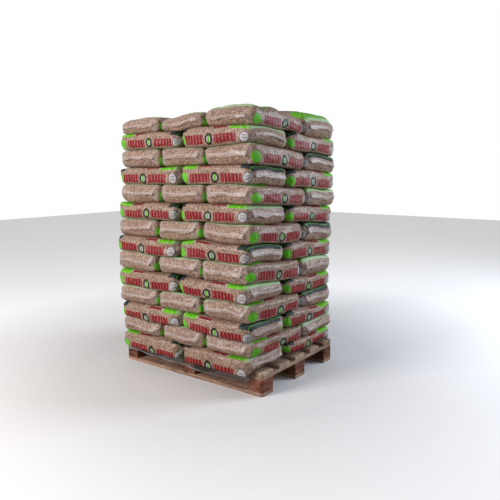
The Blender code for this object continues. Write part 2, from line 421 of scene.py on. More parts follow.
@dataclass
class Sack:
    """One filled sack: where it lies, how it is turned, and the surface of its film."""

    name: str
    centre: tuple[float, float]
    half_length: float
    half_width: float
    heading: Heading
    level: int
    seed: int
    above: SackForm = PRESSED_ABOVE
    below: SackForm = PRESSED_BELOW
    relief: FilmRelief = FilmRelief()
    rim_share: float = 0.52
    own_height: float = 0.0
    slump: float = 0.0
    lean: float = 0.0
    print_drop: float = 0.0
    roll: float = 0.0
    slide: float = 0.0
    station_count: int = 27
    side_steps: int = 9
    face_steps: int = 14
    rise: float = 3.0
    round_off: float = 1.12
    tuck: float = 0.175
    tuck_reach: float = 0.021
    narrowing: float = 0.062
    narrow_reach: float = 0.085
    set_back_open: float = 0.002
    set_back_shut: float = 0.010
    set_back_reach: float = 0.12
    side_gap: float = 0.002
    side_bulge: float = 0.010
    side_pinch: float = 0.0025
    end_bulge: float = 0.006
    end_bulge_reach: float = 0.06
    weld_half: float = 0.0008
    fin_out: float = 0.013
    fin_in: float = 0.006
    fin_steps: int = 3
    fin_fold: float = 78.0
    rest_gap: float = 0.0006
    rim_reach: float = 0.03
    crown_reach: float = 0.26

    def __post_init__(self) -> None:
        """Draw this sack's own small differences from its seed, and lay out the angles of its section."""
        chance = np.random.default_rng(self.seed)
        self.turn = math.radians(chance.uniform(-0.8, 0.8))
        self.shift = chance.uniform(-0.004, 0.004, 2)
        self.tone = float(chance.uniform(0.0, 1.0))
        self.fold_turn = chance.uniform(-8.0, 8.0, 2)
        self.ear_lift = chance.uniform(-0.008, 0.005, 4)
        self.bluntness = chance.uniform(0.80, 1.35, 2)
        side = np.arctan(np.linspace(0.0, 1.0, self.side_steps + 1))
        face = math.pi / 2 - np.arctan(np.linspace(1.0, 0.0, self.face_steps + 1)[1:])
        quarter = np.concatenate([side, face])
        half = np.concatenate([quarter, math.pi - quarter[-2::-1]])
        self.angles = np.concatenate([half, 2.0 * math.pi - half[-2:0:-1]])
        self.angles = np.roll(self.angles, len(quarter) - 1)
        self.around = len(self.angles)

    def axes(self) -> tuple[Array, Array]:
        """Turn the sack's heading by its own small angle.

        Returns:
            The plan directions of its length, away from its header, and of its width.
        """
        along = -np.array(self.heading.value)
        cos, sin = math.cos(self.turn), math.sin(self.turn)
        along = np.array([along[0] * cos - along[1] * sin, along[0] * sin + along[1] * cos])
        return along, np.array([-along[1], along[0]])

    def open_sides(self, beds: LayerBeds) -> tuple[bool, bool, bool, bool]:
        """Tell which sides of the sack lie open at the load's rim.

        Args:
            beds: The beds, with the plan of each layer.

        Returns:
            One answer each for the header end, the far end, the side at -b and the one at +b.
        """
        middle_x, middle_y, half_x, half_y = beds.plan(self.level)
        along, across = self.axes()
        sides = []
        for axis, half in ((-along, self.half_length), (along, self.half_length),
                           (-across, self.half_width), (across, self.half_width)):
            tip = np.abs(np.array(self.centre) + axis * half - (middle_x, middle_y))
            past = np.maximum(tip - (half_x - self.rim_reach, half_y - self.rim_reach), 0.0)
            sides.append(bool(past @ np.abs(axis) > 0.0))
        return tuple(sides)

    def lay_stations(self, header_open: bool, far_open: bool) -> Stations:
        """Lay out the stations.

        Between the welds a station lies at the distance (1 - cos(pi t / 2)) of half the length from its
        end, so that stations crowd towards the welds. The fins have a few more, evenly.

        Args:
            header_open: Whether the header end lies open.
            far_open: Whether the far end does.

        Returns:
            The stations of both halves.
        """
        share = np.linspace(0.0, 1.0, self.station_count)
        inward = self.half_length * (1.0 - np.cos(share * math.pi / 2.0))
        sides = []
        for is_open in (header_open, far_open):
            fin = self.fin_out if is_open else self.fin_in
            outward = -fin * np.linspace(1.0, 1.0 / self.fin_steps, self.fin_steps)
            sides.append(np.concatenate([outward, inward]))
        place = np.concatenate([sides[0] - self.half_length, (self.half_length - sides[1])[::-1][1:]])
        depth = np.concatenate([sides[0], sides[1][::-1][1:]])
        end = np.concatenate([np.zeros(len(sides[0]), int), np.ones(len(sides[1]) - 1, int)])
        return Stations(place, depth, end, np.where(end == 0, header_open, far_open))

    def section(self, stations: Stations) -> tuple[Array, Array]:
        """Work out the unit section at each station: width and height from -1 to 1.

        A section is the curve |b|^n + |c|^n = 1 read at set polar angles, so b is cos a and c is sin a,
        both divided by (|cos a|^n + |sin a|^n)^(1/n). The power n rises a little from the welds to the
        middle. The sides are drawn in by a share of c^2.4. Towards a weld the width narrows gently, and at
        last it tucks in evenly, which makes the two triangles of a parcel's folded end. The height c is
        scaled by the blunt wedge of the end, (1 - (1 - d / reach)^3)^(1/1.12), flat at the weld and round
        at the shoulder.

        Args:
            stations: The stations along the sack.

        Returns:
            The grids of b and c.
        """
        angle = self.angles
        cos, sin = np.abs(np.cos(angle))[None, :], np.abs(np.sin(angle))[None, :]
        upper = (np.sin(angle) > 0.0)[None, :]
        inside = stations.inside()
        blunt = self.bluntness[stations.end][:, None]

        def by_half(rule: Callable[[SackForm], Array | float]) -> Array:
            """Return a rule's value for the upper form above the rim, and for the lower one below it."""
            return np.where(upper, rule(self.above), rule(self.below))

        power = by_half(lambda form: form.end_power
                        + (form.power - form.end_power) * smooth_step(inside, 0.0, form.corner_reach))
        radius = (cos ** power + sin ** power) ** (1.0 / power)
        b, c = cos / radius, sin / radius
        b = b * (1.0 - by_half(lambda form: form.draw_in) * c ** 2.4)
        b = b * (1.0 - self.tuck * (1.0 - np.clip(inside / self.tuck_reach, 0.0, 1.0))
                 - self.narrowing * (1.0 - np.clip(inside / self.narrow_reach, 0.0, 1.0)) ** 1.7)
        closing = by_half(lambda form: (1.0 - (1.0 - np.clip(inside / (form.end_reach * blunt), 0.0, 1.0))
                                        ** self.rise) ** (1.0 / self.round_off))
        return b * np.sign(np.cos(angle))[None, :], c * closing * np.sign(np.sin(angle))[None, :]

    def film_map(self, place: Array, b: Array, c: Array, height: float) -> tuple[Array, Array, float]:
        """Measure the film in metres along the sack and round it.

        The first is the arc along the upper middle line, from the header's weld. The second is the arc
        along the middle section, counted from the top: below zero on the +b side, above it on the other.

        Args:
            place: The place of each station.
            b: Unit width of each point.
            c: Unit height of each point.
            height: The sack's height.

        Returns:
            The arc of each station, that of each point round the sack and once more the first, and the
            girth.
        """
        middle = len(b) // 2
        loop = np.stack([b[middle] * self.half_width, c[middle] * height / 2], axis=-1)
        steps = np.linalg.norm(np.roll(loop, -1, axis=0) - loop, axis=1)
        round_it = np.concatenate([[0.0], np.cumsum(steps)])
        crest = c[:, self.around // 2] * height / 2
        along = np.concatenate([[0.0], np.cumsum(np.hypot(np.diff(place), np.diff(crest)))])
        return along - along[self.fin_steps], round_it - round_it[-1] / 2, round_it[-1]

    def on_side(self) -> Array:
        """Return how much each point round the sack lies on its sides, from 0 to 1."""
        return smooth_step(math.pi / 4 - np.abs(np.arctan(np.tan(self.angles))), -0.02, 0.20)[None, :]

    def off_ridge(self) -> Array:
        """Return the angle of each point round the sack from the nearest of its four long edges."""
        return np.abs(np.abs(np.arctan(np.tan(self.angles))) - math.pi / 4)[None, :]

    def folds(self, stations: Stations, b: Array, c: Array) -> Array:
        """Work out how far the film is lifted or creased at each point.

        Close to a weld the film gathers in ripples along the sack, 41 mm apart, that die away over some
        centimetres. The folded end has a crease along each edge of its side triangles, and the triangles
        sink in. Dents of a few millimetres wander over the sides, and finer ones show the pellets' lumps.
        Where the sack is pressed between its neighbours, all of it fades.

        Args:
            stations: The stations along the sack.
            b: Unit width of each point.
            c: Unit height of each point.

        Returns:
            The offset of each point along its normal.
        """
        relief, inside, place = self.relief, stations.inside(), stations.place[:, None]
        across = b * self.half_width
        wander = Ripple(self.seed + 1, 0.16).at(place, across, c * 0.1)
        gather = relief.gather * np.exp(-inside / relief.gather_reach)
        gather = gather * np.sin(2.0 * math.pi * across / relief.gather_pitch + 2.6 * wander)
        gather = gather * smooth_step(inside, 0.0, 0.012)
        on_end = smooth_step(inside, 0.0, 0.008) * (1.0 - smooth_step(inside, 0.018, 0.050))
        ridge = np.exp(-(self.off_ridge() / relief.ridge_width) ** 2)
        crease = -relief.ridge_crease * ridge * on_end - relief.side_sink * self.on_side() * on_end
        dents = relief.dent * Ripple(self.seed + 2, relief.dent_length).at(place, across, c * 0.12)
        lumps = Ripple(self.seed + 3, relief.lump_length, waves=10).at(place, across, c * 0.05)
        domed_top = (self.own_height > 0.0) & (c > 0.0)
        free = np.where(domed_top, 1.0, 1.0 - smooth_step(np.abs(c), 0.80, 0.97))
        off_fin = smooth_step(stations.depth, -0.004, 0.004)[:, None]
        return (gather + crease + dents + relief.lump * lumps) * free * off_fin

    def fin_angle(self, stations: Stations) -> Array:
        """Return the angle in radians by which the fin of each station's end is folded down."""
        return np.radians(self.fin_fold + self.fold_turn[stations.end])

    def lengthwise(self, stations: Stations, b: Array) -> Array:
        """Work out where each point lies along the sack.

        An end is set back a little, more so where it meets a neighbour. The fold of a fin draws its tip
        in, and the middle of an end bulges out along the parabola 1 - b^2.

        Args:
            stations: The stations along the sack.
            b: Unit width of each point.

        Returns:
            The distance of each point from the sack's middle.
        """
        inward = stations.inward()
        set_back = np.where(stations.is_open, self.set_back_open, self.set_back_shut) * inward
        moved = set_back * (1.0 - smooth_step(stations.inside()[:, 0], 0.0, self.set_back_reach))
        drawn = (np.cos(self.fin_angle(stations)) - 1.0) * np.minimum(stations.depth, 0.0) * inward
        bulge = self.end_bulge * (1.0 - b ** 2) * np.exp(-stations.inside() / self.end_bulge_reach)
        outward = -(inward * np.where(stations.is_open, 1.0, 0.3))[:, None]
        return (stations.place + moved + drawn)[:, None] + bulge * outward

    def crosswise(self, stations: Stations, b: Array, open_left: bool, open_right: bool) -> Array:
        """Work out where each point lies across the sack. Open sides bulge out along a parabola.

        Args:
            stations: The stations along the sack.
            b: Unit width of each point.
            open_left: Whether the side at -b lies open.
            open_right: Whether the one at +b does.

        Returns:
            The distance of each point from the sack's middle line.
        """
        belly = 1.0 - (stations.place / self.half_length).clip(-1.0, 1.0) ** 2
        left = self.side_bulge if open_left else -self.side_pinch
        right = self.side_bulge if open_right else -self.side_pinch
        return b * (self.half_width - self.side_gap + np.where(b > 0.0, right, left) * belly[:, None])

    def fin_hang(self, stations: Stations, b: Array) -> Array:
        """Work out how far each point of a folded fin hangs down, with a flutter along the weld.

        Args:
            stations: The stations along the sack.
            b: Unit width of each point.

        Returns:
            The way down, below zero, and 0 off the fins.
        """
        ripple = Ripple(self.seed + 4, self.relief.flutter_length)
        flutter = ripple.at(b * self.half_width, stations.end[:, None] * 0.5)
        drop = np.sin(self.fin_angle(stations)) * np.minimum(stations.depth, 0.0)
        return drop[:, None] * (1.0 + self.relief.flutter * flutter)

    def weld_wave(self, stations: Stations, across: Array) -> Array:
        """Return the slow rise and fall of the welds, which dies away into the sack."""
        wave = Ripple(self.seed + 5, self.relief.weld_wave_length).at(across, stations.end[:, None] * 0.7)
        return self.relief.weld_wave * wave * np.exp(-stations.inside() / self.relief.weld_wave_reach)

    def ears(self, stations: Stations, b: Array) -> Array:
        """Return how far the four corners of the welds stand up or hang, each by its own height."""
        closeness = np.exp(-stations.inside() / self.relief.ear_reach) * np.abs(b / b.max()) ** 6
        return closeness * self.ear_lift[stations.end[:, None] * 2 + (b > 0.0)]

    def heights(self, beds: LayerBeds, x: Array, y: Array) -> tuple[Array, Array, Array]:
        """Work out the heights of the sack above plan points.

        A sack of the top layer has its own height. It falls off from the middle by a share of the
        distance squared, slumps towards its back end and leans along X.

        Args:
            beds: The beds between the layers.
            x: Plan coordinate along the pallet.
            y: Plan coordinate across it.

        Returns:
            The heights of the underside, of the widest line and of the top.
        """
        low = beds.height(self.level - 1, x, y) + self.rest_gap
        high = beds.height(self.level, x, y) - self.rest_gap
        if self.own_height > 0.0:
            half = self.half_length if self.heading in (Heading.FRONT, Heading.BACK) else self.half_width
            share = smooth_step(y, self.centre[1] - 0.1, self.centre[1] + half)
            away = ((x - self.centre[0]) ** 2 + (y - self.centre[1]) ** 2) / self.crown_reach ** 2
            crown = self.above.crown * np.clip(away, 0.0, 1.0)
            leaning = self.lean * (x - self.centre[0])
            high = low + self.own_height * (1.0 - crown) - self.slump * share + leaning
        return low, low + (high - low) * self.rim_share, high

    def marks(self, stations: Stations, normals: Array, girth: float,
              span: float) -> dict[str, Array | float]:
        """Work out the numbers that the finish reads.

        The film is slack on the end's side triangles, along their edges, on the weld and on the fin; the pale
        line along each triangle's edge is partly a painted highlight where the crease catches the light. It
        shines where an open end slopes up to the sky.

        Args:
            stations: The stations along the sack.
            normals: The unit normal of each point.
            girth: The length of the film round the sack.
            span: Its length from weld to weld.

        Returns:
            The marks by name: two that vary over the sack, and five that the whole sack shares.
        """
        inside, depth = stations.inside(), stations.depth[:, None]
        triangle = 0.38 * self.on_side() * (1.0 - smooth_step(inside, 0.012, 0.026))
        # Partly painted highlight: the pale line along each triangle's edge stands for the crease catching
        # the light, as well as for loose film.
        ridge = 0.70 * np.exp(-(self.off_ridge() / 0.05) ** 2) * (1.0 - smooth_step(inside, 0.016, 0.030))
        weld = 0.95 * (1.0 - smooth_step(np.abs(depth), 0.0006, 0.0020))
        fin = np.where(depth < -0.001, 0.22, 0.0)
        sky = smooth_step(normals[..., 2], 0.35, 0.85) * (1.0 - smooth_step(inside, 0.030, 0.095))
        return {"slack": reduce(np.maximum, (triangle, ridge, weld, fin)), "tone": self.tone,
                "shine": sky * stations.is_open[:, None], "girth": girth + 4.0 * self.print_drop,
                "span": span, "roll": self.roll, "slide": self.slide}

    def surface(self, beds: LayerBeds) -> TubeMesh:
        """Work out the whole surface of the sack.

        A point lies at its place along the sack and across it, both turned into plan. Its height is that
        of the widest line, plus c times the way to the top, or less the way to the underside, with the
        fin's hang, the weld's wave and the ears. At last every point moves along its normal by the folds.

        Args:
            beds: The beds between the layers.

        Returns:
            The closed mesh of the sack.
        """
        header_open, far_open, open_left, open_right = self.open_sides(beds)
        stations = self.lay_stations(header_open, far_open)
        b, c = self.section(stations)
        lengthwise = self.lengthwise(stations, b)
        across = self.crosswise(stations, b, open_left, open_right)
        axis, width_axis = self.axes()
        x = self.centre[0] + self.shift[0] + lengthwise * axis[0] + across * width_axis[0]
        y = self.centre[1] + self.shift[1] + lengthwise * axis[1] + across * width_axis[1]
        low, rim, high = self.heights(beds, x, y)
        reach = np.where(c > 0.0, high - rim, rim - low)
        weld = self.weld_half * np.sin(self.angles)[None, :]
        z = rim + c * reach + weld + self.fin_hang(stations, b)
        z = z + self.weld_wave(stations, across) + self.ears(stations, b)
        grid = np.stack([x, y, z], axis=-1)
        normals = grid_normals(grid)
        grid = grid + normals * self.folds(stations, b, c)[..., None]
        height = float((high - low)[len(b) // 2].mean())
        film_u, film_v, girth = self.film_map(stations.place, b, c, height)
        marks = self.marks(stations, normals, girth, film_u[-1 - self.fin_steps])
        return TubeMesh(self.name, grid, film_u, film_v, marks)

    def build(self, beds: LayerBeds, material: bpy.types.Material) -> bpy.types.Object:
        """Make the sack's object, attach it to the load's root body and hide its layer's node in the frame.

        Args:
            beds: The beds between the layers.
            material: The finish of the film and the pellets.

        Returns:
            The sack's object.
        """
        piece = self.surface(beds).build(material)
        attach(piece, BODY)
        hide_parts(SACK_NODE.format(self.level))
        return piece


@dataclass
class SackStack:
    """The fourteen layers of five sacks."""

    beds: LayerBeds
    seed: int = 300
    top_front_heights: tuple[float, float, float] = (0.103, 0.096, 0.124)
    top_leans: tuple[float, float, float] = (0.035, 0.035, 0.030)
    top_back_height: float = 0.164
    top_back_slump: float = 0.012
    top_slump: float = 0.026
    top_rim_share: float = 0.45
    low_print: tuple[float, ...] = (0.014, 0.0, 0.008, 0.0, 0.003)
    roll: float = 0.013
    low_roll: float = -0.006
    cross_slide: float = 0.018

    def headings(self, level: int) -> tuple[Heading, Heading, Heading]:
        """Tell which way the sacks of a layer point. The two lengthwise ones swap after every second layer.

        Args:
            level: The layer's number, counted from the deck.

        Returns:
            The headings of the left and the right lengthwise sack, and of the cross sacks.
        """
        from_top = LAYER_COUNT + 1 - level
        outward = from_top % 4 in (1, 2)
        pair = (Heading.LEFT, Heading.RIGHT) if outward else (Heading.RIGHT, Heading.LEFT)
        return (*pair, Heading.BACK if level % 2 == 1 else Heading.FRONT)

    def layer(self, level: int) -> list[Sack]:
        """Lay out the five sacks of a layer inside its box in the frame.

        Args:
            level: The layer's number, counted from the deck.

        Returns:
            The two lengthwise sacks and the three cross sacks.
        """
        middle_x, middle_y, half_x, half_y = self.beds.plan(level)
        front = 1.0 if level % 2 == 1 else -1.0
        half_width, half_length = half_y * 2 / 5, half_y * 3 / 5
        left, right, cross = self.headings(level)
        drop = self.low_print[level - 1] if level <= len(self.low_print) else 0.0
        sacks = []
        for index, (side, heading) in enumerate(((-1, left), (1, right))):
            centre = (middle_x + side * half_x / 2, middle_y - front * (half_y - half_width))
            roll = self.low_roll if level == 1 else self.roll
            roll = roll if heading is Heading.RIGHT else -roll
            sacks.append(Sack(f"sack_{level:02d}_{index + 1}", centre, half_x / 2, half_width, heading,
                              level, self.seed + level * 10 + index, print_drop=drop, roll=roll))
        for index, side in enumerate((-1, 0, 1), start=2):
            centre = (middle_x + side * half_x * 2 / 3, middle_y + front * (half_y - half_length))
            sacks.append(Sack(f"sack_{level:02d}_{index + 1}", centre, half_length, half_x / 3, cross,
                              level, self.seed + level * 10 + index, roll=self.roll, slide=self.cross_slide))
        return sacks

    def round_the_top(self, sacks: list[Sack]) -> None:
        """Give the sacks of the top layer their own heights and round upper sides.

        Args:
            sacks: The five sacks, which are changed in place.
        """
        for sack in sacks:
            sack.above = DOMED_ABOVE
            sack.rim_share = self.top_rim_share
            sack.own_height = self.top_back_height
            sack.slump = self.top_back_slump
            if sack.heading is Heading.FRONT:
                column = round(sack.centre[0] / sack.half_width / 2)
                sack.own_height = self.top_front_heights[column + 1]
                sack.lean = self.top_leans[column + 1]
                sack.slump = self.top_slump if column == 1 else 0.0

    def build(self, finish: "PelletSack") -> list[bpy.types.Object]:
        """Build all the sacks.

        Args:
            finish: The finish of a sack.

        Returns:
            Their objects, from the lowest layer up.
        """
        material = finish.material()
        pieces = []
        for level in range(1, LAYER_COUNT + 1):
            sacks = self.layer(level)
            if level == LAYER_COUNT:
                self.round_the_top(sacks)
            pieces += [sack.build(self.beds, material) for sack in sacks]
            log.info("layer %d: %d sacks", level, len(sacks))
        return pieces


class NodeSheet:
    """Adds nodes to a tree and joins them, so that a finish reads as a list of steps."""

    def __init__(self, tree: bpy.types.NodeTree) -> None:
        """Keep the tree that the nodes go into."""
        self.tree = tree

    def add(self, kind: str, settings: dict[str, object] | None = None, **inputs: Value) -> bpy.types.Node:
        """Add a node.

        Args:
            kind: The node's type in Blender, less the word ShaderNode before it.
            settings: The node's own properties.
            inputs: Its sockets by name, spaces as underscores: a value, a colour or a socket to join.

        Returns:
            The node.
        """
        node = self.tree.nodes.new("ShaderNode" + kind)
        for name, value in (settings or {}).items():
            setattr(node, name, value)
        for name, value in inputs.items():
            self.feed(node.inputs[name.replace("_", " ")], value)
        return node

    def feed(self, socket: Socket, value: Value) -> None:
        """Join a socket to another, or set its value.

        Args:
            socket: The input to feed.
            value: What feeds it.
        """
        if isinstance(value, Socket):
            self.tree.links.new(value, socket)
        elif socket.type == "RGBA" and len(value) == 3:
            socket.default_value = (*value, 1.0)
        else:
            socket.default_value = value

    def maths(self, operation: str, *values: Value, clamp: bool = False) -> Socket:
        """Add a Math node.

        Args:
            operation: What it works out.
            values: Its one, two or three values.
            clamp: Whether the result is held between 0 and 1.

        Returns:
            The result.
        """
        node = self.add("Math", {"operation": operation, "use_clamp": clamp})
        for socket, value in zip(node.inputs, values):
            self.feed(socket, value)
        return node.outputs[0]

    def vector_maths(self, operation: str, *values: Value) -> bpy.types.Node:
        """Add a Vector Math node.

        Args:
            operation: What it works out.
            values: Its one, two or three vectors.

        Returns:
            The node, whose result is a vector or a number.
        """
        node = self.add("VectorMath", {"operation": operation})
        for socket, value in zip(node.inputs, values):
            self.feed(socket, value)
        return node

    def plus(self, first: Value, second: Value, clamp: bool = False) -> Socket:
        """Return the sum of two values."""
        return self.maths("ADD", first, second, clamp=clamp)

    def minus(self, first: Value, second: Value) -> Socket:
        """Return the first value less the second."""
        return self.maths("SUBTRACT", first, second)

    def times(self, *factors: Value) -> Socket:
        """Return the product of several values. Of masks, it is where all of them overlap."""
        return reduce(partial(self.maths, "MULTIPLY"), factors)

    def union(self, *masks: Value) -> Socket:
        """Return the largest of several masks."""
        return reduce(partial(self.maths, "MAXIMUM"), masks)

    def unsigned(self, value: Value) -> Socket:
        """Return a value without its sign."""
        return self.maths("ABSOLUTE", value)

    def apart(self, first: Value, second: Value) -> Socket:
        """Return how far two values lie apart."""
        return self.unsigned(self.minus(first, second))

    def reach(self, along: Value, across: Value) -> Socket:
        """Return the length of a way of two steps square to each other: the root of the sum of squares."""
        return self.maths("SQRT", self.plus(self.times(along, along), self.times(across, across)))

    def beat(self, value: Value, pitch: float, offset: float = 0.0) -> Socket:
        """Divide a value by a pitch and keep the fraction, which repeats from 0 to 1.

        Args:
            value: The value.
            pitch: The length of one beat.
            offset: Beats to add first.

        Returns:
            The fraction.
        """
        count = self.maths("DIVIDE", value, pitch)
        return self.maths("FRACT", self.plus(count, offset) if offset else count)

    def spread(self, value: Value, low: float, high: float, new_low: float = 0.0,
               new_high: float = 1.0) -> Socket:
        """Map a value from one range to another, held inside it.

        Args:
            value: The value.
            low: Where its range starts.
            high: Where it ends.
            new_low: What the start becomes.
            new_high: What the end becomes.

        Returns:
            The new value.
        """
        node = self.add("MapRange", {"clamp": True})
        for socket, number in zip(node.inputs[:5], (value, low, high, new_low, new_high)):
            self.feed(socket, number)
        return node.outputs["Result"]

    def below(self, value: Value, limit: float, soft: float = 0.001) -> Socket:
        """Return a mask of where a value lies below a limit, with an edge that is soft to both sides."""
        return self.spread(value, limit + soft, limit - soft)

    def band(self, value: Value, middle: float, half: float, soft: float = 0.0015) -> Socket:
        """Return a mask of where a value lies within half of a middle, with a soft edge."""
        return self.below(self.apart(value, middle), half, soft / 2)

    def between(self, value: Value, low: float, high: float) -> Socket:
        """Return a mask of where a value lies between two others."""
        return self.band(value, (low + high) / 2, (high - low) / 2)

    def blend(self, share: Value, first: Value, second: Value) -> Socket:
        """Mix two colours.

        Args:
            share: How much there is of the second.
            first: The first colour.
            second: The second one.

        Returns:
            The mixed colour.
        """
        node = self.add("Mix", {"data_type": "RGBA"})
        self.feed(node.inputs["Factor"], share)
        colours = [socket for socket in node.inputs if socket.type == "RGBA"]
        self.feed(colours[0], first)
        self.feed(colours[1], second)
        return next(socket for socket in node.outputs if socket.type == "RGBA")

    def paint(self, base: Value, *coats: tuple[Value, Value]) -> Socket:
        """Lay coats over a base colour.

        Args:
            base: The base colour.
            coats: The share and the colour of each coat, from the lowest up.

        Returns:
            The colour on top.
        """
        for share, colour in coats:
            base = self.blend(share, base, colour)
        return base

    def ramp(self, share: Value, stops: tuple[tuple[float, Colour], ...]) -> Socket:
        """Read a colour ramp.

        Args:
            share: Where to read it, from 0 to 1.
            stops: The place and the colour of each of its stops.

        Returns:
            The colour.
        """
        node = self.add("ValToRGB", None, Fac=share)
        elements = node.color_ramp.elements
        while len(elements) < len(stops):
            elements.new(0.5)
        for element, (place, colour) in zip(elements, stops):
            element.position = place
            element.color = (*colour, 1.0)
        return node.outputs["Color"]

    def noise(self, vector: Socket, scale: float, detail: float = 3.0, roughness: float = 0.55) -> Socket:
        """Return a noise of a scale, a number of octaves and their share."""
        return self.add("TexNoise", None, Vector=vector, Scale=scale, Detail=detail,
                        Roughness=roughness).outputs["Fac"]

    def cells(self, vector: Socket, scale: Value) -> bpy.types.Node:
        """Return a node of random cells of a scale."""
        return self.add("TexVoronoi", {"feature": "F1"}, Vector=vector, Scale=scale)

    def stretch(self, vector: Socket, scale: Point) -> Socket:
        """Return a vector scaled along each axis."""
        return self.add("Mapping", None, Vector=vector, Scale=scale).outputs["Vector"]

    def position(self) -> Socket:
        """Return the place on the object, in metres."""
        return self.add("TexCoord").outputs["Object"]

    def split(self, vector: Socket) -> tuple[Socket, Socket]:
        """Return the first two parts of a vector."""
        parts = self.add("SeparateXYZ", None, Vector=vector).outputs
        return parts["X"], parts["Y"]

    def join(self, x: Value, y: Value, z: Value = 0.0) -> Socket:
        """Return the vector of three parts."""
        return self.add("CombineXYZ", None, X=x, Y=y, Z=z).outputs["Vector"]

    def marks(self, *names: str) -> list[Socket]:
        """Return the numbers of these names that the mesh has on its points."""
        return [self.add("Attribute", {"attribute_name": name}).outputs["Fac"] for name in names]

    def is_seen(self) -> Socket:
        """Return 1 for what the camera sees, and 0 for what only lights the rest."""
        return self.add("LightPath").outputs["Is Camera Ray"]


@dataclass(frozen=True)
class Effect:
    """A node group that several finishes share, built once and placed by name.

    An input without a number is a vector. An output called Color is a colour, and the others are numbers.
    """

    name: str
    draw: Draw
    inputs: dict[str, float | None]
    outputs: tuple[str, ...]

    def tree(self) -> bpy.types.NodeTree:
        """Find the group, or draw it when it is first asked for.

        Returns:
            The node group.
        """
        known = bpy.data.node_groups.get(self.name)
        if known is not None:
            return known
        group = bpy.data.node_groups.new(self.name, "ShaderNodeTree")
        for name, value in self.inputs.items():
            kind = "NodeSocketVector" if value is None else "NodeSocketFloat"
            socket = group.interface.new_socket(name, in_out="INPUT", socket_type=kind)
            if value is not None:
                socket.default_value = value
        for name in self.outputs:
            kind = "NodeSocketColor" if name == "Color" else "NodeSocketFloat"
            group.interface.new_socket(name, in_out="OUTPUT", socket_type=kind)
        sheet = NodeSheet(group)
        entry, leave = group.nodes.new("NodeGroupInput"), group.nodes.new("NodeGroupOutput")
        given = {name: entry.outputs[name] for name in self.inputs}
        for name, socket in self.draw(sheet, given).items():
            sheet.feed(leave.inputs[name], socket)
        return group

    def place(self, sheet: NodeSheet, **inputs: Value) -> Sockets:
        """Place the effect in a material.

        Args:
            sheet: The material's sheet.
            inputs: What feeds the effect, by name.

        Returns:
            Its outputs by name.
        """
        node = sheet.add("Group", {"node_tree": self.tree()}, **inputs)
        return {name: node.outputs[name] for name in self.outputs}


@dataclass(frozen=True)
class PelletFill:
    """A heap of pellets: small cells of random tone with painted shade in the gaps between them, and larger
    cells that group them.
    """

    warp_scale: float = 70.0
    warp: float = 0.010
    coarse_scale: float = 0.50
    fine_share: float = 0.78
    gap_depth: float = 0.46
    tones: tuple[tuple[float, Colour], ...] = (
        (0.0, srgb(70, 48, 37)), (0.20, srgb(137, 108, 91)), (0.46, srgb(175, 146, 128)),
        (0.74, srgb(197, 170, 153)), (1.0, srgb(222, 201, 188)))

    def draw(self, sheet: NodeSheet, entry: Sockets) -> Sockets:
        """Draw the cells over a place that a fine noise pushes about, with painted shade in the gaps between
        them.

        Args:
            sheet: The group's sheet.
            entry: Its inputs: the place and the size of a pellet.

        Returns:
            The pellets' colour and their height.
        """
        warp = sheet.add("TexNoise", None, Vector=entry["Vector"], Scale=self.warp_scale, Detail=1.0)
        pushed = sheet.vector_maths("MULTIPLY_ADD", warp.outputs["Color"], (self.warp,) * 3,
                                    entry["Vector"]).outputs[0]
        scale = sheet.maths("DIVIDE", 1.0, entry["Size"])
        fine = sheet.cells(pushed, scale)
        coarse = sheet.cells(pushed, sheet.times(scale, self.coarse_scale))
        tone = sheet.add("SeparateColor", None, Color=fine.outputs["Color"]).outputs["Red"]
        broad = sheet.add("SeparateColor", None, Color=coarse.outputs["Color"]).outputs["Green"]
        mixed = sheet.plus(sheet.times(tone, self.fine_share), sheet.times(broad, 1.0 - self.fine_share))
        # Painted shade: the pellets are darkened towards the gaps between them.
        gap_shade = sheet.spread(fine.outputs["Distance"], 0.45, 0.80)
        shade = sheet.minus(mixed, sheet.times(gap_shade, self.gap_depth))
        return {"Color": sheet.ramp(shade, self.tones), "Height": sheet.minus(1.0, fine.outputs["Distance"])}


def draw_film_folds(sheet: NodeSheet, entry: Sockets) -> Sockets:
    """Draw the fine folds of thin film, which are ridged noise.

    Args:
        sheet: The group's sheet.
        entry: Its inputs: the place, the folds' scale and how sharp they are.

    Returns:
        A mask of where the folds catch the light, and their height.
    """
    fine = sheet.add("TexNoise", {"noise_type": "RIDGED_MULTIFRACTAL"}, Vector=entry["Vector"],
                     Scale=entry["Scale"], Detail=4.0, Roughness=0.55).outputs["Fac"]
    sharp = sheet.maths("POWER", sheet.spread(fine, 0.3, 1.9), sheet.times(entry["Sharpness"], 2.2))
    return {"Mask": sharp, "Height": fine}


def draw_grime(sheet: NodeSheet, entry: Sockets) -> Sockets:
    """Draw soft patches of dust and dirt with broken edges.

    Args:
        sheet: The group's sheet.
        entry: Its inputs: the place, the amount of grime and the patches' scale.

    Returns:
        A mask of the grime.
    """
    patches = sheet.noise(entry["Vector"], entry["Scale"], 6.0, 0.68)
    return {"Mask": sheet.times(sheet.spread(patches, 0.48, 0.72), entry["Amount"])}


